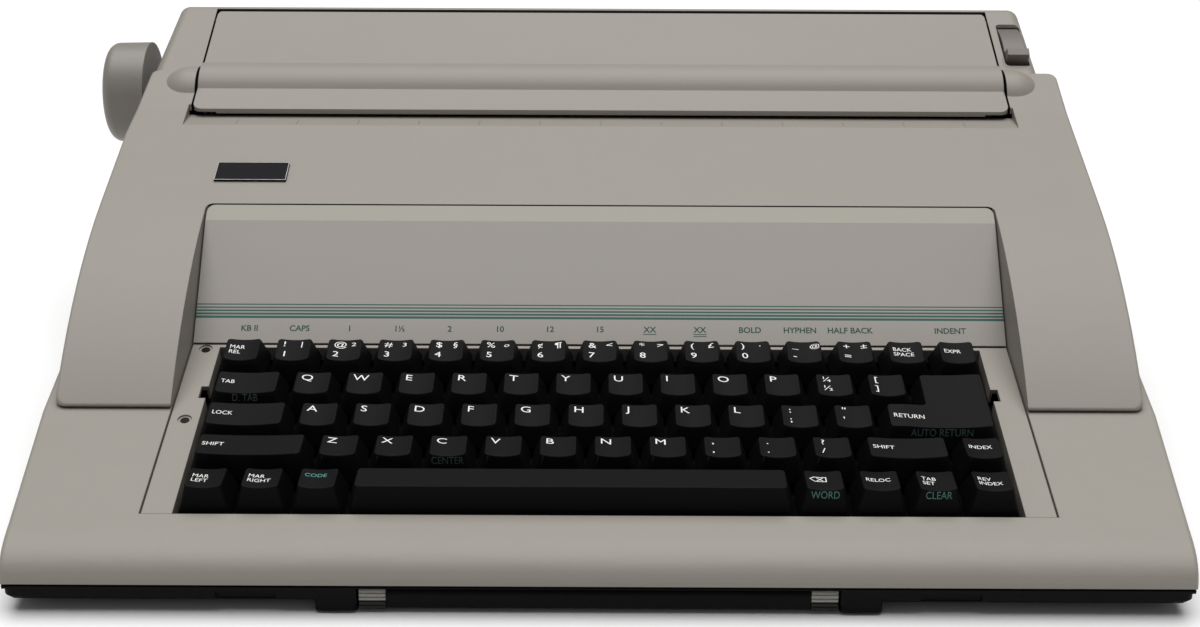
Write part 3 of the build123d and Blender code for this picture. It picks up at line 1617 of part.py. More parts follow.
with BuildPart() as power_rocker:
    with BuildSketch(level(inlet_place[1] - rocker_size[1] / 2)):
        with BuildLine():
            Polyline(
                (rocker_x - rocker_size[0] / 2, case_depth + 0.4),
                (rocker_x, case_depth - 1.0),
                (rocker_x + rocker_size[0] / 2, case_depth + 0.4),
                (rocker_x + rocker_size[0] / 2 - 1, case_depth - 5),
                (rocker_x + 3, rocker_pivot_y - 4),
                (rocker_x - 3, rocker_pivot_y - 4),
                (rocker_x - rocker_size[0] / 2 + 1, case_depth - 5),
                close=True,
            )
        make_face()
    extrude(amount=rocker_size[1])
    with BuildSketch(level(inlet_place[1] - rocker_size[1] / 2 - rocker_pin_reach)):
        with Locations((rocker_x, rocker_pivot_y)):
            Circle(rocker_pin)
    extrude(amount=rocker_size[1] + 2 * rocker_pin_reach)
power_rocker.part.label = "power_rocker"
export_step(power_rocker.part, "parts/power_rocker.step")
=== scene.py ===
import json
import math

import bpy
from mathutils import Matrix, Vector


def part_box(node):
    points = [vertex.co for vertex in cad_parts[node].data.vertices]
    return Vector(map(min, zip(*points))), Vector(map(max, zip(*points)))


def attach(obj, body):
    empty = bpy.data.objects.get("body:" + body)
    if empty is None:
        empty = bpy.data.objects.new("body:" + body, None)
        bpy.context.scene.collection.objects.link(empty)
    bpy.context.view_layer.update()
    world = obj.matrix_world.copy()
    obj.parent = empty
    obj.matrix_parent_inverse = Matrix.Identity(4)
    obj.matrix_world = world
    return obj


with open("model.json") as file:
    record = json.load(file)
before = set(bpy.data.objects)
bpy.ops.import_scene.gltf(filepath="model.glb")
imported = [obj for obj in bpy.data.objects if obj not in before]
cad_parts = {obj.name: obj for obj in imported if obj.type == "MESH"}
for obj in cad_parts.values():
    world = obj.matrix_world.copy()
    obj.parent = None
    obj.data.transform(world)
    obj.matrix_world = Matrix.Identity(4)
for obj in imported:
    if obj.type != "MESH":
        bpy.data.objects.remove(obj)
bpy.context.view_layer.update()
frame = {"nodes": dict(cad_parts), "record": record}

# Looks of an electronic typewriter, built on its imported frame. Metres, +Z up.
# Places that are given in millimetres count x from the middle of the case, y from
# its front edge and z from the table, as the part's own source does.

nodes = frame["nodes"]
scene = bpy.context.scene
bpy.ops.object.select_all(action="DESELECT")

# Measures of the machine in millimetres, with its slopes in radians. MM makes them metres.
MM = 0.001
CASE_MIDDLE = 7.65
CASE_FRONT = -176.0
KEYBOARD_LEAN = math.radians(10.9)
DECK_LEAN = math.radians(14.9)
SURROUND_START = (24.0, 24.4)
PANEL_FOOT = (120.43, 42.97)
PANEL_CREASE = (158.4, 77.94)
PANEL_LEAN = math.atan2(PANEL_CREASE[1] - PANEL_FOOT[1], PANEL_CREASE[0] - PANEL_FOOT[0])
KEY_PITCH = 19.05
KEY_GAP = 1.05
KEY_SIZE = KEY_PITCH - KEY_GAP
KEY_TAPER = 5.6
KEY_TAPER_FRONT = 3.0
KEY_BASE = -3.4
TOP_HEIGHTS = (5.6, 4.6, 5.0, 6.2, 7.2)
TOP_LEANS = tuple(math.radians(lean) for lean in (0.0, 2.4, 2.4, 8.0, 11.0))
FIRST_ROW = 10.8
NUMBER_START = -6 * KEY_PITCH
UPPER_START = -5.5 * KEY_PITCH
HOME_START = -5.25 * KEY_PITCH
LOWER_START = -4.75 * KEY_PITCH
KEY_DISH = 0.9
WIDE_KEY_DISH = 0.7
RETURN_MIDDLE = (7.5 - 2.25 / 2) * KEY_PITCH
RETURN_HOLLOW = 150
RETURN_LOWEST = 2
# Height under which the handle arms get painted shadow
ARM_SHADE_HEIGHT = 4.9
SKY = 200

# Narrow slots round the paper cover and over the panel. Walls within reach of these places and over this
# height get painted shade, near black, where shadow falls.
COVER_GAP_SIDE = 172.9
COVER_GAP_BACK = 303.2
PANEL_GAP_BACK = (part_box("stripe_panel")[1][1] / MM - CASE_FRONT) + 0.4
SIDE_GAP_REACH = 0.75
BACK_GAP_REACH = 0.8
GAP_SHADE_OVER = 74
FACING = 0.5

# Lettering. Sizes are those of the letters, and a capital's height is a share of its size.
LIFT = 0.03
CAPITAL_SHARE = 0.72
WORD_SIZE = 3.15
WORD_MARGIN = 1.3
SKIRT_SIZE = 3.9
PAIR_SPACING = 1.25
SIGN_SCALE = 0.72
SIGN_SHIFT = Vector((-1.5, 0.9))
SIGN_STROKE = 0.34
LAMP_WORD = (-151.4, 45.4)
SWITCH_MARK = 4.3

# The panel: stripes (place up the slope, half their width), its upper bevel and its names
STRIPES = ((16.0, 0.24), (14.7, 0.28), (13.4, 0.34), (12.1, 0.40), (10.75, 0.48))
PANEL_BEVEL = 51.4
PANEL_NAMES_UP = 5.0
PANEL_NAME_SIZE = 3.3
LINES_UP = (4.2, 3.4)
LINE_LENGTH = 5.0
LINE_THICK = 0.3

# Small fitted details
BADGE_INSET = 0.1
BADGE_RIM = 0.32
BADGE_RIM_PROUD = 0.12
BADGE_RIM_SUNK = 0.02
LEDGE_TICK = 25.4
LEDGE_TICKS = 13
LEDGE_TICK_FROM = 222.6
LEDGE_TICK_TO = 228.2
WHEEL_PLACE = (14.0, 12.0)
WHEEL_RADIUS = 6.0
WHEEL_HEIGHT = 2.6
WHEEL_TOP_LIMIT = 96.4
WHEEL_RIM = 1.0
WHEEL_HOLLOW = 0.7
WHEEL_WEB = 2.6
WHEEL_HUB = 0.5
GROOVE_MARGIN = 0.12
GROOVE_DEPTH = 0.35

# Camera of the photograph, and the light
CAMERA_PLACE = (7.7, -695, 340.5)
CAMERA_TILT = math.radians(66)
CAMERA_ROLL = math.radians(0.25)
LENS = 55.75
FLOOR_SIZE = 60
FLOOR_SHADES = ((0.80, 0.80, 0.80, 1), (0.82, 0.82, 0.82, 1))
WORLD_LIGHT = 0.2
SUN_LIGHT = 3.7
SUN_ANGLE = math.radians(64)
SUN_LEAN = math.radians(-9)


def spot(x, y, z):
    """Point of the row frame for a place given in millimetres."""
    return Vector(((CASE_MIDDLE + x) * MM, (CASE_FRONT + y) * MM, z * MM))


def on_slope(start, lean, across, along, up):
    """Point on a sloping plane that rises to the back from a start (depth, height)."""
    y = start[0] + along * math.cos(lean) - up * math.sin(lean)
    z = start[1] + along * math.sin(lean) + up * math.cos(lean)
    return spot(across, y, z)


def on_keyboard(across, along, up):
    """Point over the sloping plane that the keys stand in."""
    return on_slope(SURROUND_START, KEYBOARD_LEAN, across, along, up)


def on_panel(across, along):
    """Point just over the striped panel."""
    return on_slope(PANEL_FOOT, PANEL_LEAN, across, along, LIFT)


# Camera at the photograph's angle

def set_camera():
    """Camera above and in front of the machine, looking down over the keyboard."""
    lens = bpy.data.cameras.new("camera")
    lens.sensor_width = 36
    lens.lens = LENS
    camera = bpy.data.objects.new("camera", lens)
    scene.collection.objects.link(camera)
    camera.location = Vector(CAMERA_PLACE) * MM
    look = Matrix.Rotation(CAMERA_TILT, 3, "X") @ Matrix.Rotation(CAMERA_ROLL, 3, "Z")
    camera.rotation_euler = look.to_euler()
    scene.camera = camera


# Node helpers

def new_material(name):
    """An empty material, with a Principled shader joined to its output."""
    material = bpy.data.materials.new(name)
    material.use_nodes = True
    tree = material.node_tree
    tree.nodes.clear()
    output = tree.nodes.new("ShaderNodeOutputMaterial")
    shader = tree.nodes.new("ShaderNodeBsdfPrincipled")
    tree.links.new(shader.outputs["BSDF"], output.inputs["Surface"])
    return material, tree, shader


def feed(tree, socket, value):
    """A socket's value, or a link to it from another node's output."""
    if isinstance(value, bpy.types.NodeSocket):
        tree.links.new(value, socket)
    else:
        socket.default_value = value


def sums(tree, operation, *operands):
    """Result of a Math node."""
    node = tree.nodes.new("ShaderNodeMath")
    node.operation = operation
    for socket, value in zip(node.inputs, operands):
        feed(tree, socket, value)
    return node.outputs[0]


def vector_sums(tree, operation, *operands):
    """Vector Math node."""
    node = tree.nodes.new("ShaderNodeVectorMath")
    node.operation = operation
    for socket, value in zip(node.inputs, operands):
        feed(tree, socket, value)
    return node


def mixed(tree, factor, first, second):
    """Blend of two colours."""
    node = tree.nodes.new("ShaderNodeMix")
    node.data_type = "RGBA"
    for index, value in ((0, factor), (6, first), (7, second)):
        feed(tree, node.inputs[index], value)
    return node.outputs[2]


def noise(tree, place, scale, detail, roughness=0.5):
    """Noise over a place, between 0 and 1."""
    node = tree.nodes.new("ShaderNodeTexNoise")
    for label, value in (("Vector", place), ("Scale", scale), ("Detail", detail), ("Roughness", roughness)):
        feed(tree, node.inputs[label], value)
    return node.outputs["Fac"]


def stepped(tree, value, low, high):
    """A value spread from its low to its high, kept between 0 and 1."""
    node = tree.nodes.new("ShaderNodeMapRange")
    for label, number in (("Value", value), ("From Min", low), ("From Max", high)):
        feed(tree, node.inputs[label], number)
    return node.outputs["Result"]


def centred(tree, value):
    """A noise value shifted to vary about nought."""
    return sums(tree, "SUBTRACT", value, 0.5)


def place_of(tree):
    """Object coordinates, which are the row frame's own metres."""
    return tree.nodes.new("ShaderNodeTexCoord").outputs["Object"]


def bumped(tree, shader, height, distance, strength, normal=None):
    """Normal of the shader from a height map."""
    bump = tree.nodes.new("ShaderNodeBump")
    bump.inputs["Distance"].default_value = distance
    bump.inputs["Strength"].default_value = strength
    tree.links.new(height, bump.inputs["Height"])
    if normal is not None:
        tree.links.new(normal, bump.inputs["Normal"])
    tree.links.new(bump.outputs["Normal"], shader.inputs["Normal"])


def rounded_edges(tree, radius):
    """Normal that rounds sharp edges off over a radius."""
    bevel = tree.nodes.new("ShaderNodeBevel")
    bevel.samples = 4
    bevel.inputs["Radius"].default_value = radius
    return bevel.outputs["Normal"]


def group_node(tree, group, **values):
    """A shader node group set into a material, with its inputs by name."""
    node = tree.nodes.new("ShaderNodeGroup")
    node.node_tree = group
    for label, value in values.items():
        feed(tree, node.inputs[label.replace("_", " ").capitalize()], value)
    return node


def new_group(name, inputs, outputs):
    """A shader node group with named inputs and outputs."""
    group = bpy.data.node_groups.new(name, "ShaderNodeTree")
    for label, kind, value in inputs:
        socket = group.interface.new_socket(name=label, in_out="INPUT", socket_type=kind)
        socket.default_value = value
    for label, kind in outputs:
        group.interface.new_socket(name=label, in_out="OUTPUT", socket_type=kind)
    return group, group.nodes.new("NodeGroupInput"), group.nodes.new("NodeGroupOutput")


def srgb(red, green, blue):
    """Linear colour of an 8-bit screen colour."""
    def linear(level):
        level /= 255
        return level / 12.92 if level <= 0.04045 else ((level + 0.055) / 1.055) ** 2.4
    return (linear(red), linear(green), linear(blue), 1.0)


# Effects that are set into the finishes

def make_spark_skin():
    """Skin of a spark-eroded mould: fine grain, uneven tone and a little settled dust."""
    group, source, sink = new_group(
        "spark skin",
        [
            ("Colour", "NodeSocketColor", (0.5, 0.5, 0.5, 1)),
            ("Grain", "NodeSocketFloat", 1500.0),
            ("Tone", "NodeSocketFloat", 0.04),
            ("Dust", "NodeSocketFloat", 0.1),
            ("Gloss", "NodeSocketFloat", 0.5),
        ],
        [("Colour", "NodeSocketColor"), ("Roughness", "NodeSocketFloat"), ("Height", "NodeSocketFloat")],
    )
    place = place_of(group)
    broad = centred(group, noise(group, place, scale=7.0, detail=3.0))
    fine = centred(group, noise(group, place, scale=95.0, detail=3.0))
    grain = noise(group, place, source.outputs["Grain"], detail=2.0, roughness=0.6)
    uneven = sums(group, "MULTIPLY_ADD", fine, 0.5, broad)
    shade = sums(group, "MULTIPLY_ADD", uneven, source.outputs["Tone"], 1.0)
    toned = vector_sums(group, "SCALE", source.outputs["Colour"])
    group.links.new(shade, toned.inputs["Scale"])
    facing = group.nodes.new("ShaderNodeNewGeometry")
    split = group.nodes.new("ShaderNodeSeparateXYZ")
    group.links.new(facing.outputs["Normal"], split.inputs[0])
    upward = stepped(group, split.outputs["Z"], low=0.6, high=1.0)
    clouds = noise(group, place, scale=38.0, detail=5.0, roughness=0.7)
    patches = stepped(group, clouds, low=0.42, high=0.75)
    dusty = sums(group, "MULTIPLY", sums(group, "MULTIPLY", upward, patches), source.outputs["Dust"])
    colour = mixed(group, dusty, toned.outputs[0], srgb(165, 160, 150))
    rough = sums(group, "ADD", source.outputs["Gloss"], sums(group, "MULTIPLY_ADD", grain, 0.12, -0.06))
    group.links.new(colour, sink.inputs["Colour"])
    dull = sums(group, "MULTIPLY_ADD", dusty, 0.3, rough)
    group.links.new(dull, sink.inputs["Roughness"])
    group.links.new(grain, sink.inputs["Height"])
    return group


def make_scuffs():
    """Fine scratches and rubbed spots of metal and hard plastic."""
    group, source, sink = new_group(
        "scuffs",
        [
            ("Scale", "NodeSocketFloat", 60.0),
            ("Stretch", "NodeSocketVector", (1, 1, 1)),
            ("Amount", "NodeSocketFloat", 0.2),
        ],
        [("Mask", "NodeSocketFloat"), ("Height", "NodeSocketFloat")],
    )
    place = vector_sums(group, "MULTIPLY", place_of(group), source.outputs["Stretch"]).outputs[0]
    streaks = noise(group, place, source.outputs["Scale"], detail=6.0, roughness=0.7)
    mask = sums(group, "MULTIPLY", stepped(group, streaks, low=0.45, high=0.7), source.outputs["Amount"])
    group.links.new(mask, sink.inputs["Mask"])
    group.links.new(streaks, sink.inputs["Height"])
    return group


def make_painted_gap_shade():
    """Painted shade: near black on the walls of the narrow slots round the paper cover and over the panel,
    where shadow falls.
    """
    group, source, sink = new_group(
        "painted gap shade",
        [("Colour", "NodeSocketColor", (0.5, 0.5, 0.5, 1))],
        [("Colour", "NodeSocketColor")],
    )
    from_case = vector_sums(group, "SUBTRACT", place_of(group), tuple(spot(0, 0, 0))).outputs[0]
    place = group.nodes.new("ShaderNodeSeparateXYZ")
    group.links.new(from_case, place.inputs[0])
    facing = group.nodes.new("ShaderNodeSeparateXYZ")
    group.links.new(group.nodes.new("ShaderNodeNewGeometry").outputs["Normal"], facing.inputs[0])
    sideways = sums(group, "GREATER_THAN", sums(group, "ABSOLUTE", facing.outputs["X"]), FACING)
    lengthways = sums(group, "GREATER_THAN", sums(group, "ABSOLUTE", facing.outputs["Y"]), FACING)
    high = sums(group, "GREATER_THAN", place.outputs["Z"], GAP_SHADE_OVER * MM)
    across = sums(group, "ABSOLUTE", place.outputs["X"])
    beside = sums(group, "COMPARE", across, COVER_GAP_SIDE * MM, SIDE_GAP_REACH * MM)
    sides = sums(group, "MULTIPLY", sideways, beside)
    behind_cover, behind_panel = (
        sums(group, "COMPARE", place.outputs["Y"], gap * MM, BACK_GAP_REACH * MM)
        for gap in (COVER_GAP_BACK, PANEL_GAP_BACK)
    )
    backs = sums(group, "MULTIPLY", lengthways, sums(group, "MAXIMUM", behind_cover, behind_panel))
    walls = sums(group, "MULTIPLY", sums(group, "MAXIMUM", sides, backs), high)
    # Painted shade: the slot walls are mixed to near black.
    group.links.new(mixed(group, walls, source.outputs["Colour"], srgb(12, 11, 10)), sink.inputs["Colour"])
    return group


SPARK_SKIN = make_spark_skin()
SCUFFS = make_scuffs()
PAINTED_GAP_SHADE = make_painted_gap_shade()


# Finishes

def skinned(tree, shader, shine, depth, radius, **skin_values):
    """A mould's skin on a shader, all but its colour, which is given back."""
    skin = group_node(tree, SPARK_SKIN, **skin_values)
    tree.links.new(skin.outputs["Roughness"], shader.inputs["Roughness"])
    shader.inputs["Specular IOR Level"].default_value = shine
    bumped(tree, shader, skin.outputs["Height"], depth, strength=0.6, normal=rounded_edges(tree, radius))
    return skin.outputs["Colour"]


def plastic(name, colour, grain=1500.0, tone=0.05, dust=0.06, gloss=0.5, depth=0.00004,
            radius=0.0005, shine=0.4, gap_shade=False):
    """Moulded plastic with a fine skin and softened edges, and painted shade on the walls of narrow slots
    where asked.
    """
    material, tree, shader = new_material(name)
    shown = skinned(
        tree, shader, shine, depth, radius,
        colour=colour, grain=grain, tone=tone, dust=dust, gloss=gloss,
    )
    # Painted shade on the walls of the narrow slots.
    if gap_shade:
        shown = group_node(tree, PAINTED_GAP_SHADE, colour=shown).outputs["Colour"]
    tree.links.new(shown, shader.inputs["Base Color"])
    return material


def panel_finish():
    """Panel plastic with printed stripes above the row of function names."""
    material, tree, shader = new_material("panel plastic")
    place = place_of(tree)
    from_foot = vector_sums(tree, "SUBTRACT", place, tuple(spot(0, *PANEL_FOOT))).outputs[0]
    rise = (0, math.cos(PANEL_LEAN) / MM, math.sin(PANEL_LEAN) / MM)
    climb = vector_sums(tree, "DOT_PRODUCT", from_foot, rise).outputs["Value"]
    ink = None
    for centre, half in STRIPES:
        band = sums(tree, "COMPARE", climb, centre, half)
        ink = band if ink is None else sums(tree, "MAXIMUM", ink, band)
    bevel_strip = sums(tree, "GREATER_THAN", climb, PANEL_BEVEL)
    base = mixed(tree, bevel_strip, srgb(147, 142, 136), srgb(144, 141, 130))
    bare = skinned(
        tree, shader, shine=0.35, depth=0.00003, radius=0.0004,
        colour=base, grain=1900.0, tone=0.05, dust=0.04, gloss=0.5,
    )
    worn = stepped(tree, noise(tree, place, scale=900.0, detail=4.0), low=0.1, high=0.3)
    printed = sums(tree, "MULTIPLY", ink, worn)
    tree.links.new(mixed(tree, printed, bare, srgb(18, 76, 68)), shader.inputs["Base Color"])
    return material


def shaded_below(name, upper, lower, height):
    """Moulded plastic with painted shade: a dark colour below a height, where shadow falls under the part.
    """
    material, tree, shader = new_material(name)
    place = tree.nodes.new("ShaderNodeSeparateXYZ")
    tree.links.new(place_of(tree), place.inputs[0])
    # Painted shadow: everything below the height takes the dark colour.
    under = sums(tree, "LESS_THAN", place.outputs["Z"], height)
    shown = skinned(
        tree, shader, shine=0.3, depth=0.00004, radius=0.0004,
        colour=mixed(tree, under, upper, lower), gloss=0.5, dust=0.01,
    )
    tree.links.new(shown, shader.inputs["Base Color"])
    return material


def metal(name, colour, stretch=(1, 1, 1), roughness=0.35, shade=0.25):
    """Plated or drawn metal with fine streaks along its length."""
    material, tree, shader = new_material(name)
    marks = group_node(tree, SCUFFS, scale=140.0, stretch=stretch, amount=shade)
    dull = tuple(0.55 * c for c in colour[:3]) + (1,)
    tree.links.new(mixed(tree, marks.outputs["Mask"], colour, dull), shader.inputs["Base Color"])
    tree.links.new(sums(tree, "ADD", marks.outputs["Mask"], roughness), shader.inputs["Roughness"])
    shader.inputs["Metallic"].default_value = 1.0
    edges = rounded_edges(tree, radius=0.0002)
    bumped(tree, shader, marks.outputs["Height"], distance=0.00003, strength=0.5, normal=edges)
    return material


def rubber(name, colour, ring=False, roughness=0.7):
    """Rubber. On a roller that lies across, its fine grinding marks run round it."""
    material, tree, shader = new_material(name)
    place = place_of(tree)
    stretch = (1, 0.02, 0.02) if ring else (1, 1, 1)
    marks = group_node(tree, SCUFFS, scale=2200.0 if ring else 900.0, stretch=stretch, amount=0.35)
    bloom = stepped(tree, noise(tree, place, scale=30.0, detail=4.0), low=0.45, high=0.8)
    lighter = tuple(2.2 * c + 0.01 for c in colour[:3]) + (1,)
    base = mixed(tree, sums(tree, "MULTIPLY", bloom, 0.35), colour, lighter)
    tree.links.new(mixed(tree, marks.outputs["Mask"], base, lighter), shader.inputs["Base Color"])
    dull = sums(tree, "MULTIPLY_ADD", marks.outputs["Mask"], 0.3, roughness - 0.05)
    tree.links.new(dull, shader.inputs["Roughness"])
    bumped(tree, shader, marks.outputs["Height"], distance=0.00005, strength=0.5)
    return material


def board_finish():
    """Lacquered circuit board with copper tracks under the lacquer."""
    material, tree, shader = new_material("board green")
    place = place_of(tree)
    bricks = tree.nodes.new("ShaderNodeTexBrick")
    feed(tree, bricks.inputs["Vector"], place)
    sizes = (("Scale", 130.0), ("Mortar Size", 0.03), ("Brick Width", 0.9), ("Row Height", 0.22))
    for label, value in sizes:
        bricks.inputs[label].default_value = value
    grain = noise(tree, place, scale=400.0, detail=3.0)
    tracks = mixed(tree, bricks.outputs["Fac"], srgb(28, 92, 52), srgb(52, 128, 70))
    lacquer = mixed(tree, sums(tree, "MULTIPLY", grain, 0.3), tracks, srgb(16, 60, 34))
    tree.links.new(lacquer, shader.inputs["Base Color"])
    tree.links.new(sums(tree, "MULTIPLY_ADD", grain, 0.2, 0.2), shader.inputs["Roughness"])
    bumped(tree, shader, bricks.outputs["Fac"], distance=0.00003, strength=0.5)
    return material


def print_ink(name, colour, rub=0.35):
    """Screen-printed or moulded-in lettering, a little rubbed."""
    material, tree, shader = new_material(name)
    place = place_of(tree)
    specks = noise(tree, place, scale=1400.0, detail=4.0, roughness=0.7)
    rubbed = sums(tree, "MULTIPLY", stepped(tree, specks, low=0.5, high=0.8), rub)
    faded = tuple(0.55 * c for c in colour[:3]) + (1,)
    tree.links.new(mixed(tree, rubbed, colour, faded), shader.inputs["Base Color"])
    tree.links.new(sums(tree, "MULTIPLY_ADD", rubbed, 0.2, 0.5), shader.inputs["Roughness"])
    shader.inputs["Specular IOR Level"].default_value = 0.3
    return material


CASE_COLOUR = srgb(135, 130, 122)
finishes = {
    # The case plastic carries painted shade in its narrow slots.
    "case_plastic": plastic("case plastic", CASE_COLOUR, gap_shade=True),
    "panel_plastic": panel_finish(),
    "tray_black": plastic("tray black", srgb(10, 10, 10), grain=900.0, gloss=0.6, dust=0.004, shine=0.08),
    "key_black": plastic(
        "key black", srgb(9, 9, 10), grain=1700.0, tone=0.12, dust=0.001, gloss=0.55,
        radius=0.0003, shine=0.08,
    ),
    "knob_grey": plastic("knob grey", srgb(124, 120, 113), gloss=0.42, dust=0.03),
    "lever_grey": plastic("lever grey", srgb(103, 97, 92), gloss=0.45, dust=0.02),
    # The handle arms are near black below a height: painted shadow under them.
    "arm_grey": shaded_below("arm grey with painted shade", srgb(140, 138, 132), srgb(16, 16, 16), ARM_SHADE_HEIGHT * MM),
    "lens_dark": plastic("lens dark", srgb(14, 7, 6), gloss=0.3, dust=0.0, shine=0.1, depth=0.000005),
    "badge_dark": plastic("badge dark", srgb(24, 24, 27), grain=2600.0, gloss=0.6, dust=0.0, shine=0.06),
    "cassette_grey": plastic("cassette grey", srgb(62, 62, 64), gloss=0.45),
    "gear_white": plastic("gear white", srgb(222, 219, 208), grain=1200.0, gloss=0.35, dust=0.0, shine=0.5),
    "motor_case": metal("motor case", srgb(120, 120, 122), roughness=0.45),
    "steel": metal("steel", srgb(176, 177, 180), stretch=(0.05, 1, 1)),
    "rubber": rubber("rubber", srgb(22, 22, 22)),
    "board_green": board_finish(),
}
platen_rubber = rubber("platen rubber", srgb(20, 20, 21), ring=True, roughness=0.55)
white_ink = print_ink("white ink", srgb(222, 222, 218))
teal_ink = print_ink("teal ink", srgb(78, 142, 134))
# Copies of the teal print with painted shade: darker on the front row's skirts, darkest on skirts behind a
# row of keys.
deep_shade_teal_ink = print_ink("teal ink, deep painted shade", srgb(60, 80, 78))
skirt_shade_teal_ink = print_ink("teal ink, painted skirt shade", srgb(70, 118, 112))
faint_ink = print_ink("faint grey ink", srgb(118, 113, 106), rub=0.6)
panel_ink = print_ink("panel ink", srgb(14, 62, 54), rub=0.1)
silver_rim = metal("silver rim", srgb(150, 150, 148), roughness=0.45, shade=0.1)

# Each CAD piece has the finish of its slot. The bezel is of the case's plastic, and the
# platen has a ground rubber of its own.
slot_of = {row["node"]: row["material_slot"] for row in frame["record"]["subparts"]}
for name, node in nodes.items():
    node.data.materials.clear()
    node.data.materials.append(finishes[slot_of[name]])
nodes["keyboard_bezel"].data.materials[0] = finishes["case_plastic"]
nodes["platen_roller"].data.materials[0] = platen_rubber


# New pieces

def settle(meshes, name, body, material):
    """Meshes made one piece: its place goes into its mesh, and it rides on its body."""
    bpy.ops.object.select_all(action="DESELECT")
    for mesh in meshes:
        mesh.select_set(True)
    bpy.context.view_layer.objects.active = meshes[0]
    if len(meshes) > 1:
        bpy.ops.object.join()
    piece = bpy.context.view_layer.objects.active
    piece.name = name
    piece.data.name = name
    bpy.ops.object.transform_apply(location=True, rotation=True, scale=True)
    piece.data.materials.clear()
    piece.data.materials.append(material)
    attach(piece, body)
    piece.select_set(False)


def lettering(text, size, stretch, put, left=True, weight=0.0, spacing=0.95):
    """Flat letters as a mesh. put turns a place on the flat into a point of the row frame."""
    bpy.ops.object.text_add()
    letters = bpy.context.object
    letters.data.body = text
    letters.data.size = size
    letters.data.offset = weight * size
    letters.data.resolution_u = 3
    letters.data.space_line = spacing
    letters.data.align_x = "LEFT" if left else "CENTER"
    bpy.ops.object.convert(target="MESH")
    letters = bpy.context.object
    for vertex in letters.data.vertices:
        vertex.co = put(vertex.co.x * stretch, vertex.co.y)
    return letters


def row_along(row):
    """Place of a key row up the slope. Row 1 is the one at the back."""
    return FIRST_ROW + (5 - row) * KEY_PITCH


def half_top(width):
    """Half the width of a cap's top, for a cap that is so many pitches wide."""
    return (width * KEY_PITCH - KEY_GAP - KEY_TAPER) / 2


def cap_dish(width, offset, dish):
    """How far a cap's hollowed top lies under its rim's plane, at an offset from its middle."""
    half = half_top(width)
    hollow = (half**2 + dish**2) / (2 * dish)
    return hollow - dish - math.sqrt(hollow**2 - offset**2)


def on_cap(x, row, across, along, up):
    """Point on a cap's top plane, which leans back in the front rows."""
    lean = TOP_LEANS[row - 1]
    forward = along * math.cos(lean) + up * math.sin(lean)
    height = TOP_HEIGHTS[row - 1] - along * math.sin(lean) + up * math.cos(lean)
    return on_keyboard(x + across, row_along(row) + forward, height)


def top_letters(text, x, row, left, along, size=5.0, width=1.0, dish=KEY_DISH, stretch=1.12, spacing=0.95):
    """Letters on a cap's top, starting at an offset from the cap's middle."""
    def put(across, forward):
        return on_cap(x, row, left + across, along + forward, cap_dish(width, left + across, dish) + LIFT)
    return lettering(text, size, stretch, put, spacing=spacing)


def skirt_letters(text, x, row, lean, drop=1.1, stretch=0.78):
    """Letters centred on the front face of a cap, under the edge of its leaning top."""
    front = KEY_SIZE / 2 - KEY_TAPER_FRONT
    foot = Vector((-KEY_SIZE / 2, KEY_BASE))
    edge = Vector((-front * math.cos(lean), TOP_HEIGHTS[row - 1] + front * math.sin(lean)))
    up = (edge - foot).normalized()
    out = Vector((-up.y, up.x))

    def put(across, climb):
        place = edge + up * (climb - drop - CAPITAL_SHARE * SKIRT_SIZE) + out * LIFT
        return on_keyboard(x + across, row_along(row) + place.x, place.y)
    return lettering(text, SKIRT_SIZE, stretch, put, left=False)


def letter_keys():
    """Legends of the four groups of single-width keys."""
    # The upper left, upper right and lower sign of each number key
    signs = ("!|1", "@22", "#33", "$§4", "%o5", "¢¶6", "&<7", "*>8", "(£9", ")·0", "_@-", "+±=")
    rows = []
    for place, (first, second, low) in enumerate(signs):
        x = NUMBER_START + place * KEY_PITCH
        small = 3.3 if second in "23o@" else 4.0
        rows.append(top_letters(first, x, 1, left=-4.3, along=2.2, size=4.5, stretch=1.1))
        rows.append(top_letters(second, x, 1, left=2.2, along=2.5, size=small, stretch=1.2))
        rows.append(top_letters(low, x, 1, left=-4.3, along=-3.9, size=4.6, stretch=1.1))
    settle(rows, "number_legends", "number_keys", white_ink)
    # Group, middle of its first key, row, letters, keys with two signs and their place, left and size
    letter_rows = (
        ("upper_letter", UPPER_START, 2, "QWERTYUIOP", (("¼\n½", 10), ("[\n]", 11)), -4.4, 4.4),
        ("home_letter", HOME_START, 3, "ASDFGHJKL", ((":\n;", 9), ('"\n\'', 10)), -3.8, 4.6),
        ("lower_letter", LOWER_START, 4, "ZXCVBNM", ((",\n,", 7), (".\n.", 8), ("?\n/", 9)), -3.8, 4.6),
    )
    for group, start, row, letters, pairs, left, size in letter_rows:
        rows = [
            top_letters(text, start + n * KEY_PITCH, row, left=-4.6, along=2.0)
            for n, text in enumerate(letters)
        ]
        for text, n in pairs:
            x = start + n * KEY_PITCH
            rows.append(top_letters(text, x, row, left, along=2.4, size=size, spacing=PAIR_SPACING))
        settle(rows, group + "_legends", group + "_keys", white_ink)
    centre = skirt_letters("CENTER", LOWER_START + 2 * KEY_PITCH, 4, TOP_LEANS[3])
    settle([centre], "centre_legend", "lower_letter_keys", deep_shade_teal_ink)


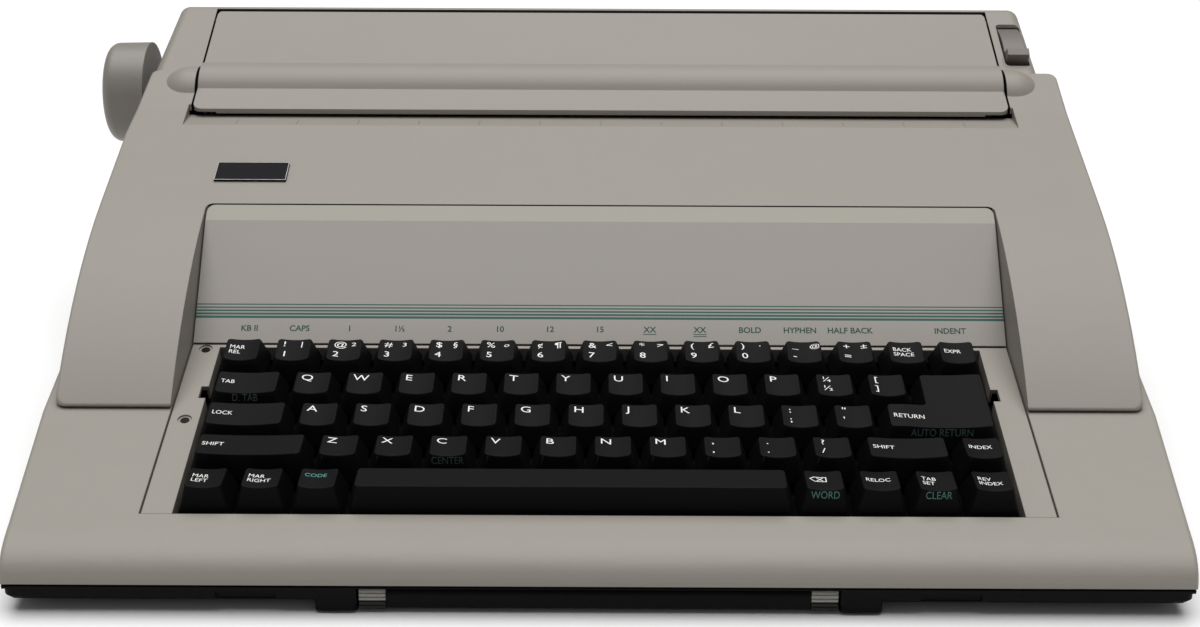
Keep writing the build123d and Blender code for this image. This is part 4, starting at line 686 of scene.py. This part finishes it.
def function_keys():
    """Legends of the keys with words on them."""
    # Key, words, middle in pitches, row, width in pitches, rise of the words, ink, skirt's words
    words = (
        ("margin_release_key", "MAR\nREL", -7, 1, 1, 0.9, white_ink, None),
        ("backspace_key", "BACK\nSPACE", 6, 1, 1, 0.9, white_ink, None),
        ("express_key", "EXPR", 7, 1, 1, 0.0, white_ink, None),
        ("tab_key", "TAB", -6.75, 2, 1.5, -0.2, white_ink, "D. TAB"),
        ("lock_key", "LOCK", -6.625, 3, 1.75, -0.2, white_ink, None),
        ("left_shift_key", "SHIFT", -6.375, 4, 2.25, -0.4, white_ink, None),
        ("right_shift_key", "SHIFT", 5.625, 4, 1.75, -0.4, white_ink, None),
        ("index_key", "INDEX", 7, 4, 1, 0.0, white_ink, None),
        ("left_margin_key", "MAR\nLEFT", -7, 5, 1, 0.9, white_ink, None),
        ("right_margin_key", "MAR\nRIGHT", -6, 5, 1, 0.9, white_ink, None),
        ("code_key", "CODE", -5, 5, 1, 1.6, teal_ink, None),
        ("relocate_key", "RELOC", 5, 5, 1, 0.0, white_ink, None),
        ("tab_set_key", "TAB\nSET", 6, 5, 1, 0.9, white_ink, "CLEAR"),
        ("reverse_index_key", "REV\nINDEX", 7, 5, 1, 0.9, white_ink, None),
    )
    for key, text, place, row, width, along, ink, under in words:
        x = place * KEY_PITCH
        left = WORD_MARGIN - half_top(width)
        spread = 0.97 if text == "SHIFT" else 0.87
        dish = KEY_DISH if width < 2 else WIDE_KEY_DISH
        letters = top_letters(text, x, row, left, along, WORD_SIZE, width, dish, spread)
        settle([letters], key.replace("_key", "_legend"), key, ink)
        if under:
            # The skirt in row 2 takes the teal print with deeper painted shade, those of the front row the
            # lighter painted shade.
            under_ink = deep_shade_teal_ink if row == 2 else skirt_shade_teal_ink
            skirt = skirt_letters(under, x, row, TOP_LEANS[row - 1])
            settle([skirt], key.replace("_key", "_skirt_legend"), key, under_ink)
    word = skirt_letters("WORD", 4 * KEY_PITCH, 5, TOP_LEANS[4])
    settle([word], "correct_skirt_legend", "correct_key", skirt_shade_teal_ink)
    return_key_legends()
    correct_key_sign()


def return_key_legends():
    """Words on the tall return key, whose hollow is one wide arc."""
    left, along = -16.8, row_along(3) - 1.2

    def put(across, forward):
        offset = left + across
        rise = RETURN_HOLLOW - math.sqrt(RETURN_HOLLOW**2 - (offset - RETURN_LOWEST) ** 2)
        height = TOP_HEIGHTS[2] - WIDE_KEY_DISH + rise + LIFT
        return on_keyboard(RETURN_MIDDLE + offset, along + forward, height)
    word = lettering("RETURN", WORD_SIZE, stretch=0.95, put=put)
    settle([word], "return_legend", "return_key", white_ink)
    skirt = skirt_letters("AUTO RETURN", RETURN_MIDDLE, 3, lean=0.0, drop=1.0, stretch=0.83)
    settle([skirt], "return_skirt_legend", "return_key", deep_shade_teal_ink)


def correct_key_sign():
    """Sign of the correcting key: a tag that points to the left, with a cross in it."""
    x = 4 * KEY_PITCH
    strokes = (
        ((-4.4, 0.6), (-2.4, 2.6)), ((-2.4, 2.6), (3.2, 2.6)), ((3.2, 2.6), (3.2, -1.4)),
        ((3.2, -1.4), (-2.4, -1.4)), ((-2.4, -1.4), (-4.4, 0.6)),
        ((-1.0, 1.9), (1.6, -0.7)), ((-1.0, -0.7), (1.6, 1.9)),
    )
    pieces = []
    for start, end in strokes:
        start, end = (SIGN_SCALE * Vector(place) + SIGN_SHIFT for place in (start, end))
        run = end - start
        bpy.ops.mesh.primitive_plane_add(size=1)
        stroke = bpy.context.object
        bpy.ops.object.mode_set(mode="EDIT")
        bpy.ops.transform.resize(value=(run.length + SIGN_STROKE, SIGN_STROKE, 1))
        bpy.ops.mesh.subdivide(number_cuts=2)
        bpy.ops.object.mode_set(mode="OBJECT")
        turn = Matrix.Rotation(math.atan2(run.y, run.x), 3, "Z")
        for vertex in stroke.data.vertices:
            flat = turn @ vertex.co
            across, along = start.x + run.x / 2 + flat.x, start.y + run.y / 2 + flat.y
            vertex.co = on_cap(x, 5, across, along, cap_dish(1, across, KEY_DISH) + LIFT)
        pieces.append(stroke)
    settle(pieces, "correct_legend", "correct_key", white_ink)


def panel_names():
    """Function names printed along the foot of the panel, one over each key."""
    names = (
        "KB II", "CAPS", "1", "1½", "2", "10", "12", "15",
        "XX", "XX", "BOLD", "HYPHEN", "HALF BACK", "", "INDENT",
    )
    rows = []
    for place, text in enumerate(names):
        if text:
            x = (place - 7) * KEY_PITCH

            def put(across, climb, x=x):
                return on_panel(x + across, PANEL_NAMES_UP + climb)
            rows.append(lettering(text, PANEL_NAME_SIZE, stretch=1.0, put=put, left=False, weight=0.02))
        if text == "XX":
            count = 1 if names[place - 1] != text else 2
            rows += [printed_line(x, along) for along in LINES_UP[:count]]
    settle(rows, "panel_names", "case", panel_ink)


def printed_line(x, along):
    """A printed line under a name on the panel."""
    bpy.ops.mesh.primitive_plane_add(size=1)
    line = bpy.context.object
    bpy.ops.object.mode_set(mode="EDIT")
    bpy.ops.transform.resize(value=(LINE_LENGTH, LINE_THICK, 1))
    bpy.ops.mesh.subdivide(number_cuts=1)
    bpy.ops.object.mode_set(mode="OBJECT")
    for vertex in line.data.vertices:
        vertex.co = on_panel(x + vertex.co.x, along + vertex.co.y)
    return line


def bar(low, high, bevel):
    """A small bar between two corners in millimetres, its edges rounded."""
    centre = (Vector(low) + Vector(high)) / 2
    size = Vector(high) - Vector(low)
    bpy.ops.mesh.primitive_cube_add(size=1, location=centre)
    piece = bpy.context.object
    bpy.ops.object.mode_set(mode="EDIT")
    bpy.ops.transform.resize(value=size)
    bpy.ops.mesh.bevel(offset=bevel, segments=2, affect="EDGES")
    bpy.ops.object.mode_set(mode="OBJECT")
    bpy.ops.object.transform_apply(location=True, rotation=True, scale=True)
    return piece


def copy_of(piece):
    """A copy of a piece with a mesh of its own."""
    twin = piece.copy()
    twin.data = piece.data.copy()
    scene.collection.objects.link(twin)
    return twin


def shaped(piece, put):
    """Every point of a piece in millimetres moved to its place in the row frame."""
    for vertex in piece.data.vertices:
        vertex.co = put(*vertex.co)
    return piece


def fallen(node, place):
    """Point of a node's surface straight under a place."""
    above = Vector((place[0], place[1], SKY * MM))
    found, point = nodes[node].ray_cast(above, Vector((0, 0, -1)))[:2]
    if not found:
        raise ValueError("nothing under the place")
    return point


def badge_border():
    """Silver rim round the blank badge plate."""
    along = Vector((0, math.cos(DECK_LEAN), math.sin(DECK_LEAN)))
    up = Vector((0, -math.sin(DECK_LEAN), math.cos(DECK_LEAN)))
    corners = [vertex.co for vertex in nodes["badge_plate"].data.vertices]
    left, right = min(co.x for co in corners), max(co.x for co in corners)
    top = max(co.dot(up) for co in corners)
    face = [co.dot(along) for co in corners if co.dot(up) > top - 0.5 * MM]
    front, back = min(face), max(face)
    bpy.ops.mesh.primitive_plane_add(size=1)
    rim = bpy.context.object
    bpy.ops.object.mode_set(mode="EDIT")
    size = [(high - low) / MM - 2 * BADGE_INSET for low, high in ((left, right), (front, back))]
    bpy.ops.transform.resize(value=(*size, 1))
    bpy.ops.mesh.inset(thickness=BADGE_RIM)
    bpy.ops.mesh.delete(type="FACE")
    bpy.ops.mesh.select_all(action="SELECT")
    bpy.ops.mesh.extrude_region_move(TRANSFORM_OT_translate={"value": (0, 0, BADGE_RIM_PROUD)})
    bpy.ops.object.mode_set(mode="OBJECT")
    heart_x, heart_along = (left + right) / 2, (front + back) / 2

    def put(x, y, z):
        flat = Vector((heart_x + x * MM, 0, 0)) + along * (heart_along + y * MM)
        return flat + up * (top + (z - BADGE_RIM_SUNK) * MM)
    settle([shaped(rim, put)], "badge_rim", "case", silver_rim)


def ledge_ticks():
    """Faint raised ticks along the ledge in front of the paper cover, an inch apart."""
    first = bar((-0.22, 0, -0.3), (0.22, 5.6, 0.16), bevel=0.1)
    ticks = [first] + [copy_of(first) for count in range(LEDGE_TICKS - 1)]
    for count, tick in enumerate(ticks):
        x = (count - LEDGE_TICKS // 2) * LEDGE_TICK
        near = fallen("upper_case", spot(x, LEDGE_TICK_FROM, 0))
        far = fallen("upper_case", spot(x, LEDGE_TICK_TO, 0))
        run = (far - near).normalized()
        up = Vector((1, 0, 0)).cross(run)

        def put(across, forward, height, near=near, run=run, up=up):
            return near + Vector((across * MM, 0, 0)) + run * forward * MM + up * height * MM
        shaped(tick, put)
    settle(ticks, "ledge_ticks", "case", finishes["case_plastic"])


def lamp_word():
    """The lower lamp's small word. It lies on the ground under the case, out of sight."""
    def put(across, climb):
        return on_keyboard(LAMP_WORD[0] + across, LAMP_WORD[1] + climb, LIFT)
    word = lettering("SHIFT", size=4.0, stretch=0.86, put=put, left=False)
    lowest = min((vertex.co for vertex in word.data.vertices), key=lambda co: co.y)
    drop = lowest.z - LIFT * MM
    for vertex in word.data.vertices:
        vertex.co.z -= drop
    settle([word], "shift_lamp_word", "case", faint_ink)


def switch_marks():
    """Moulded I and O on the two ends of the power rocker."""
    low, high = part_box("power_rocker")
    middle = (Vector(low) + Vector(high)) / 2
    for text, side, name in (("I", -1, "on_mark"), ("O", 1, "off_mark")):
        def put(across, climb, side=side):
            x = middle.x - (side * SWITCH_MARK + across) * MM
            behind = Vector((x, high[1] + 0.01, middle.z + (climb - 1.5) * MM))
            found, point = nodes["power_rocker"].ray_cast(behind, Vector((0, -1, 0)))[:2]
            return point + Vector((0, LIFT * MM, 0)) if found else behind
        mark = lettering(text, size=4.2, stretch=0.9, put=put, left=False, weight=0.01)
        settle([mark], name, "rocker", white_ink)


def ribbon_wheel():
    """Ribbed thumb wheel on the ribbon cassette, with which the ribbon is drawn tight."""
    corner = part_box("ribbon_cassette")[0]
    centre = Vector([edge / MM + inward for edge, inward in zip(corner, WHEEL_PLACE)])
    base = fallen("ribbon_cassette", (centre.x * MM, centre.y * MM)).z / MM
    tall = min(WHEEL_HEIGHT, WHEEL_TOP_LIMIT - base)
    heart = (centre.x, centre.y, base + tall / 2)
    bpy.ops.mesh.primitive_cylinder_add(vertices=36, radius=WHEEL_RADIUS, depth=tall, location=heart)
    wheel = bpy.context.object
    bpy.ops.object.mode_set(mode="EDIT")
    bpy.ops.mesh.select_all(action="DESELECT")
    bpy.ops.object.mode_set(mode="OBJECT")
    for face in wheel.data.polygons:
        face.select = face.normal.z > 0.9
    bpy.ops.object.mode_set(mode="EDIT")
    bpy.ops.mesh.select_mode(type="FACE")
    for border, shift in ((WHEEL_RIM, -WHEEL_HOLLOW), (WHEEL_WEB, WHEEL_HUB)):
        bpy.ops.mesh.inset(thickness=border)
        bpy.ops.mesh.extrude_region_move(TRANSFORM_OT_translate={"value": (0, 0, shift)})
    bpy.ops.mesh.select_all(action="DESELECT")
    bpy.ops.object.mode_set(mode="OBJECT")
    for face in wheel.data.polygons:
        face.select = abs(face.normal.z) < 0.1 and face.index % 2 == 0 and face.area > 0.5
    bpy.ops.object.mode_set(mode="EDIT")
    bpy.ops.mesh.inset(thickness=GROOVE_MARGIN, use_individual=True)
    bpy.ops.mesh.extrude_region_shrink_fatten(TRANSFORM_OT_shrink_fatten={"value": -GROOVE_DEPTH})
    bpy.ops.object.mode_set(mode="OBJECT")
    for vertex in wheel.data.vertices:
        vertex.co *= MM
    wheel.location *= MM
    settle([wheel], "ribbon_thumb_wheel", "carriage", finishes["gear_white"])


def make_stage():
    """Pale floor that runs on far behind the machine, and its soft light."""
    bpy.ops.mesh.primitive_plane_add(size=FLOOR_SIZE)
    floor = bpy.context.object
    floor.name = "floor"
    material, tree, shader = new_material("floor")
    cloudy = noise(tree, place_of(tree), scale=3.0, detail=2.0)
    tree.links.new(mixed(tree, cloudy, *FLOOR_SHADES), shader.inputs["Base Color"])
    shader.inputs["Roughness"].default_value = 0.9
    shader.inputs["Specular IOR Level"].default_value = 0.0
    floor.data.materials.append(material)
    world = bpy.data.worlds.new("studio")
    scene.world = world
    world.use_nodes = True
    world.node_tree.nodes["Background"].inputs["Color"].default_value = (1, 1, 1, 1)
    world.node_tree.nodes["Background"].inputs["Strength"].default_value = WORLD_LIGHT
    lamp = bpy.data.lights.new("soft overhead light", "SUN")
    lamp.energy = SUN_LIGHT
    lamp.angle = SUN_ANGLE
    light = bpy.data.objects.new("soft overhead light", lamp)
    scene.collection.objects.link(light)
    light.location = (0, 0.4, 2.0)
    light.rotation_euler = (SUN_LEAN, 0, 0)
    scene.view_settings.view_transform = "Standard"


set_camera()
make_stage()
letter_keys()
function_keys()
panel_names()
badge_border()
ledge_ticks()
lamp_word()
switch_marks()
ribbon_wheel()
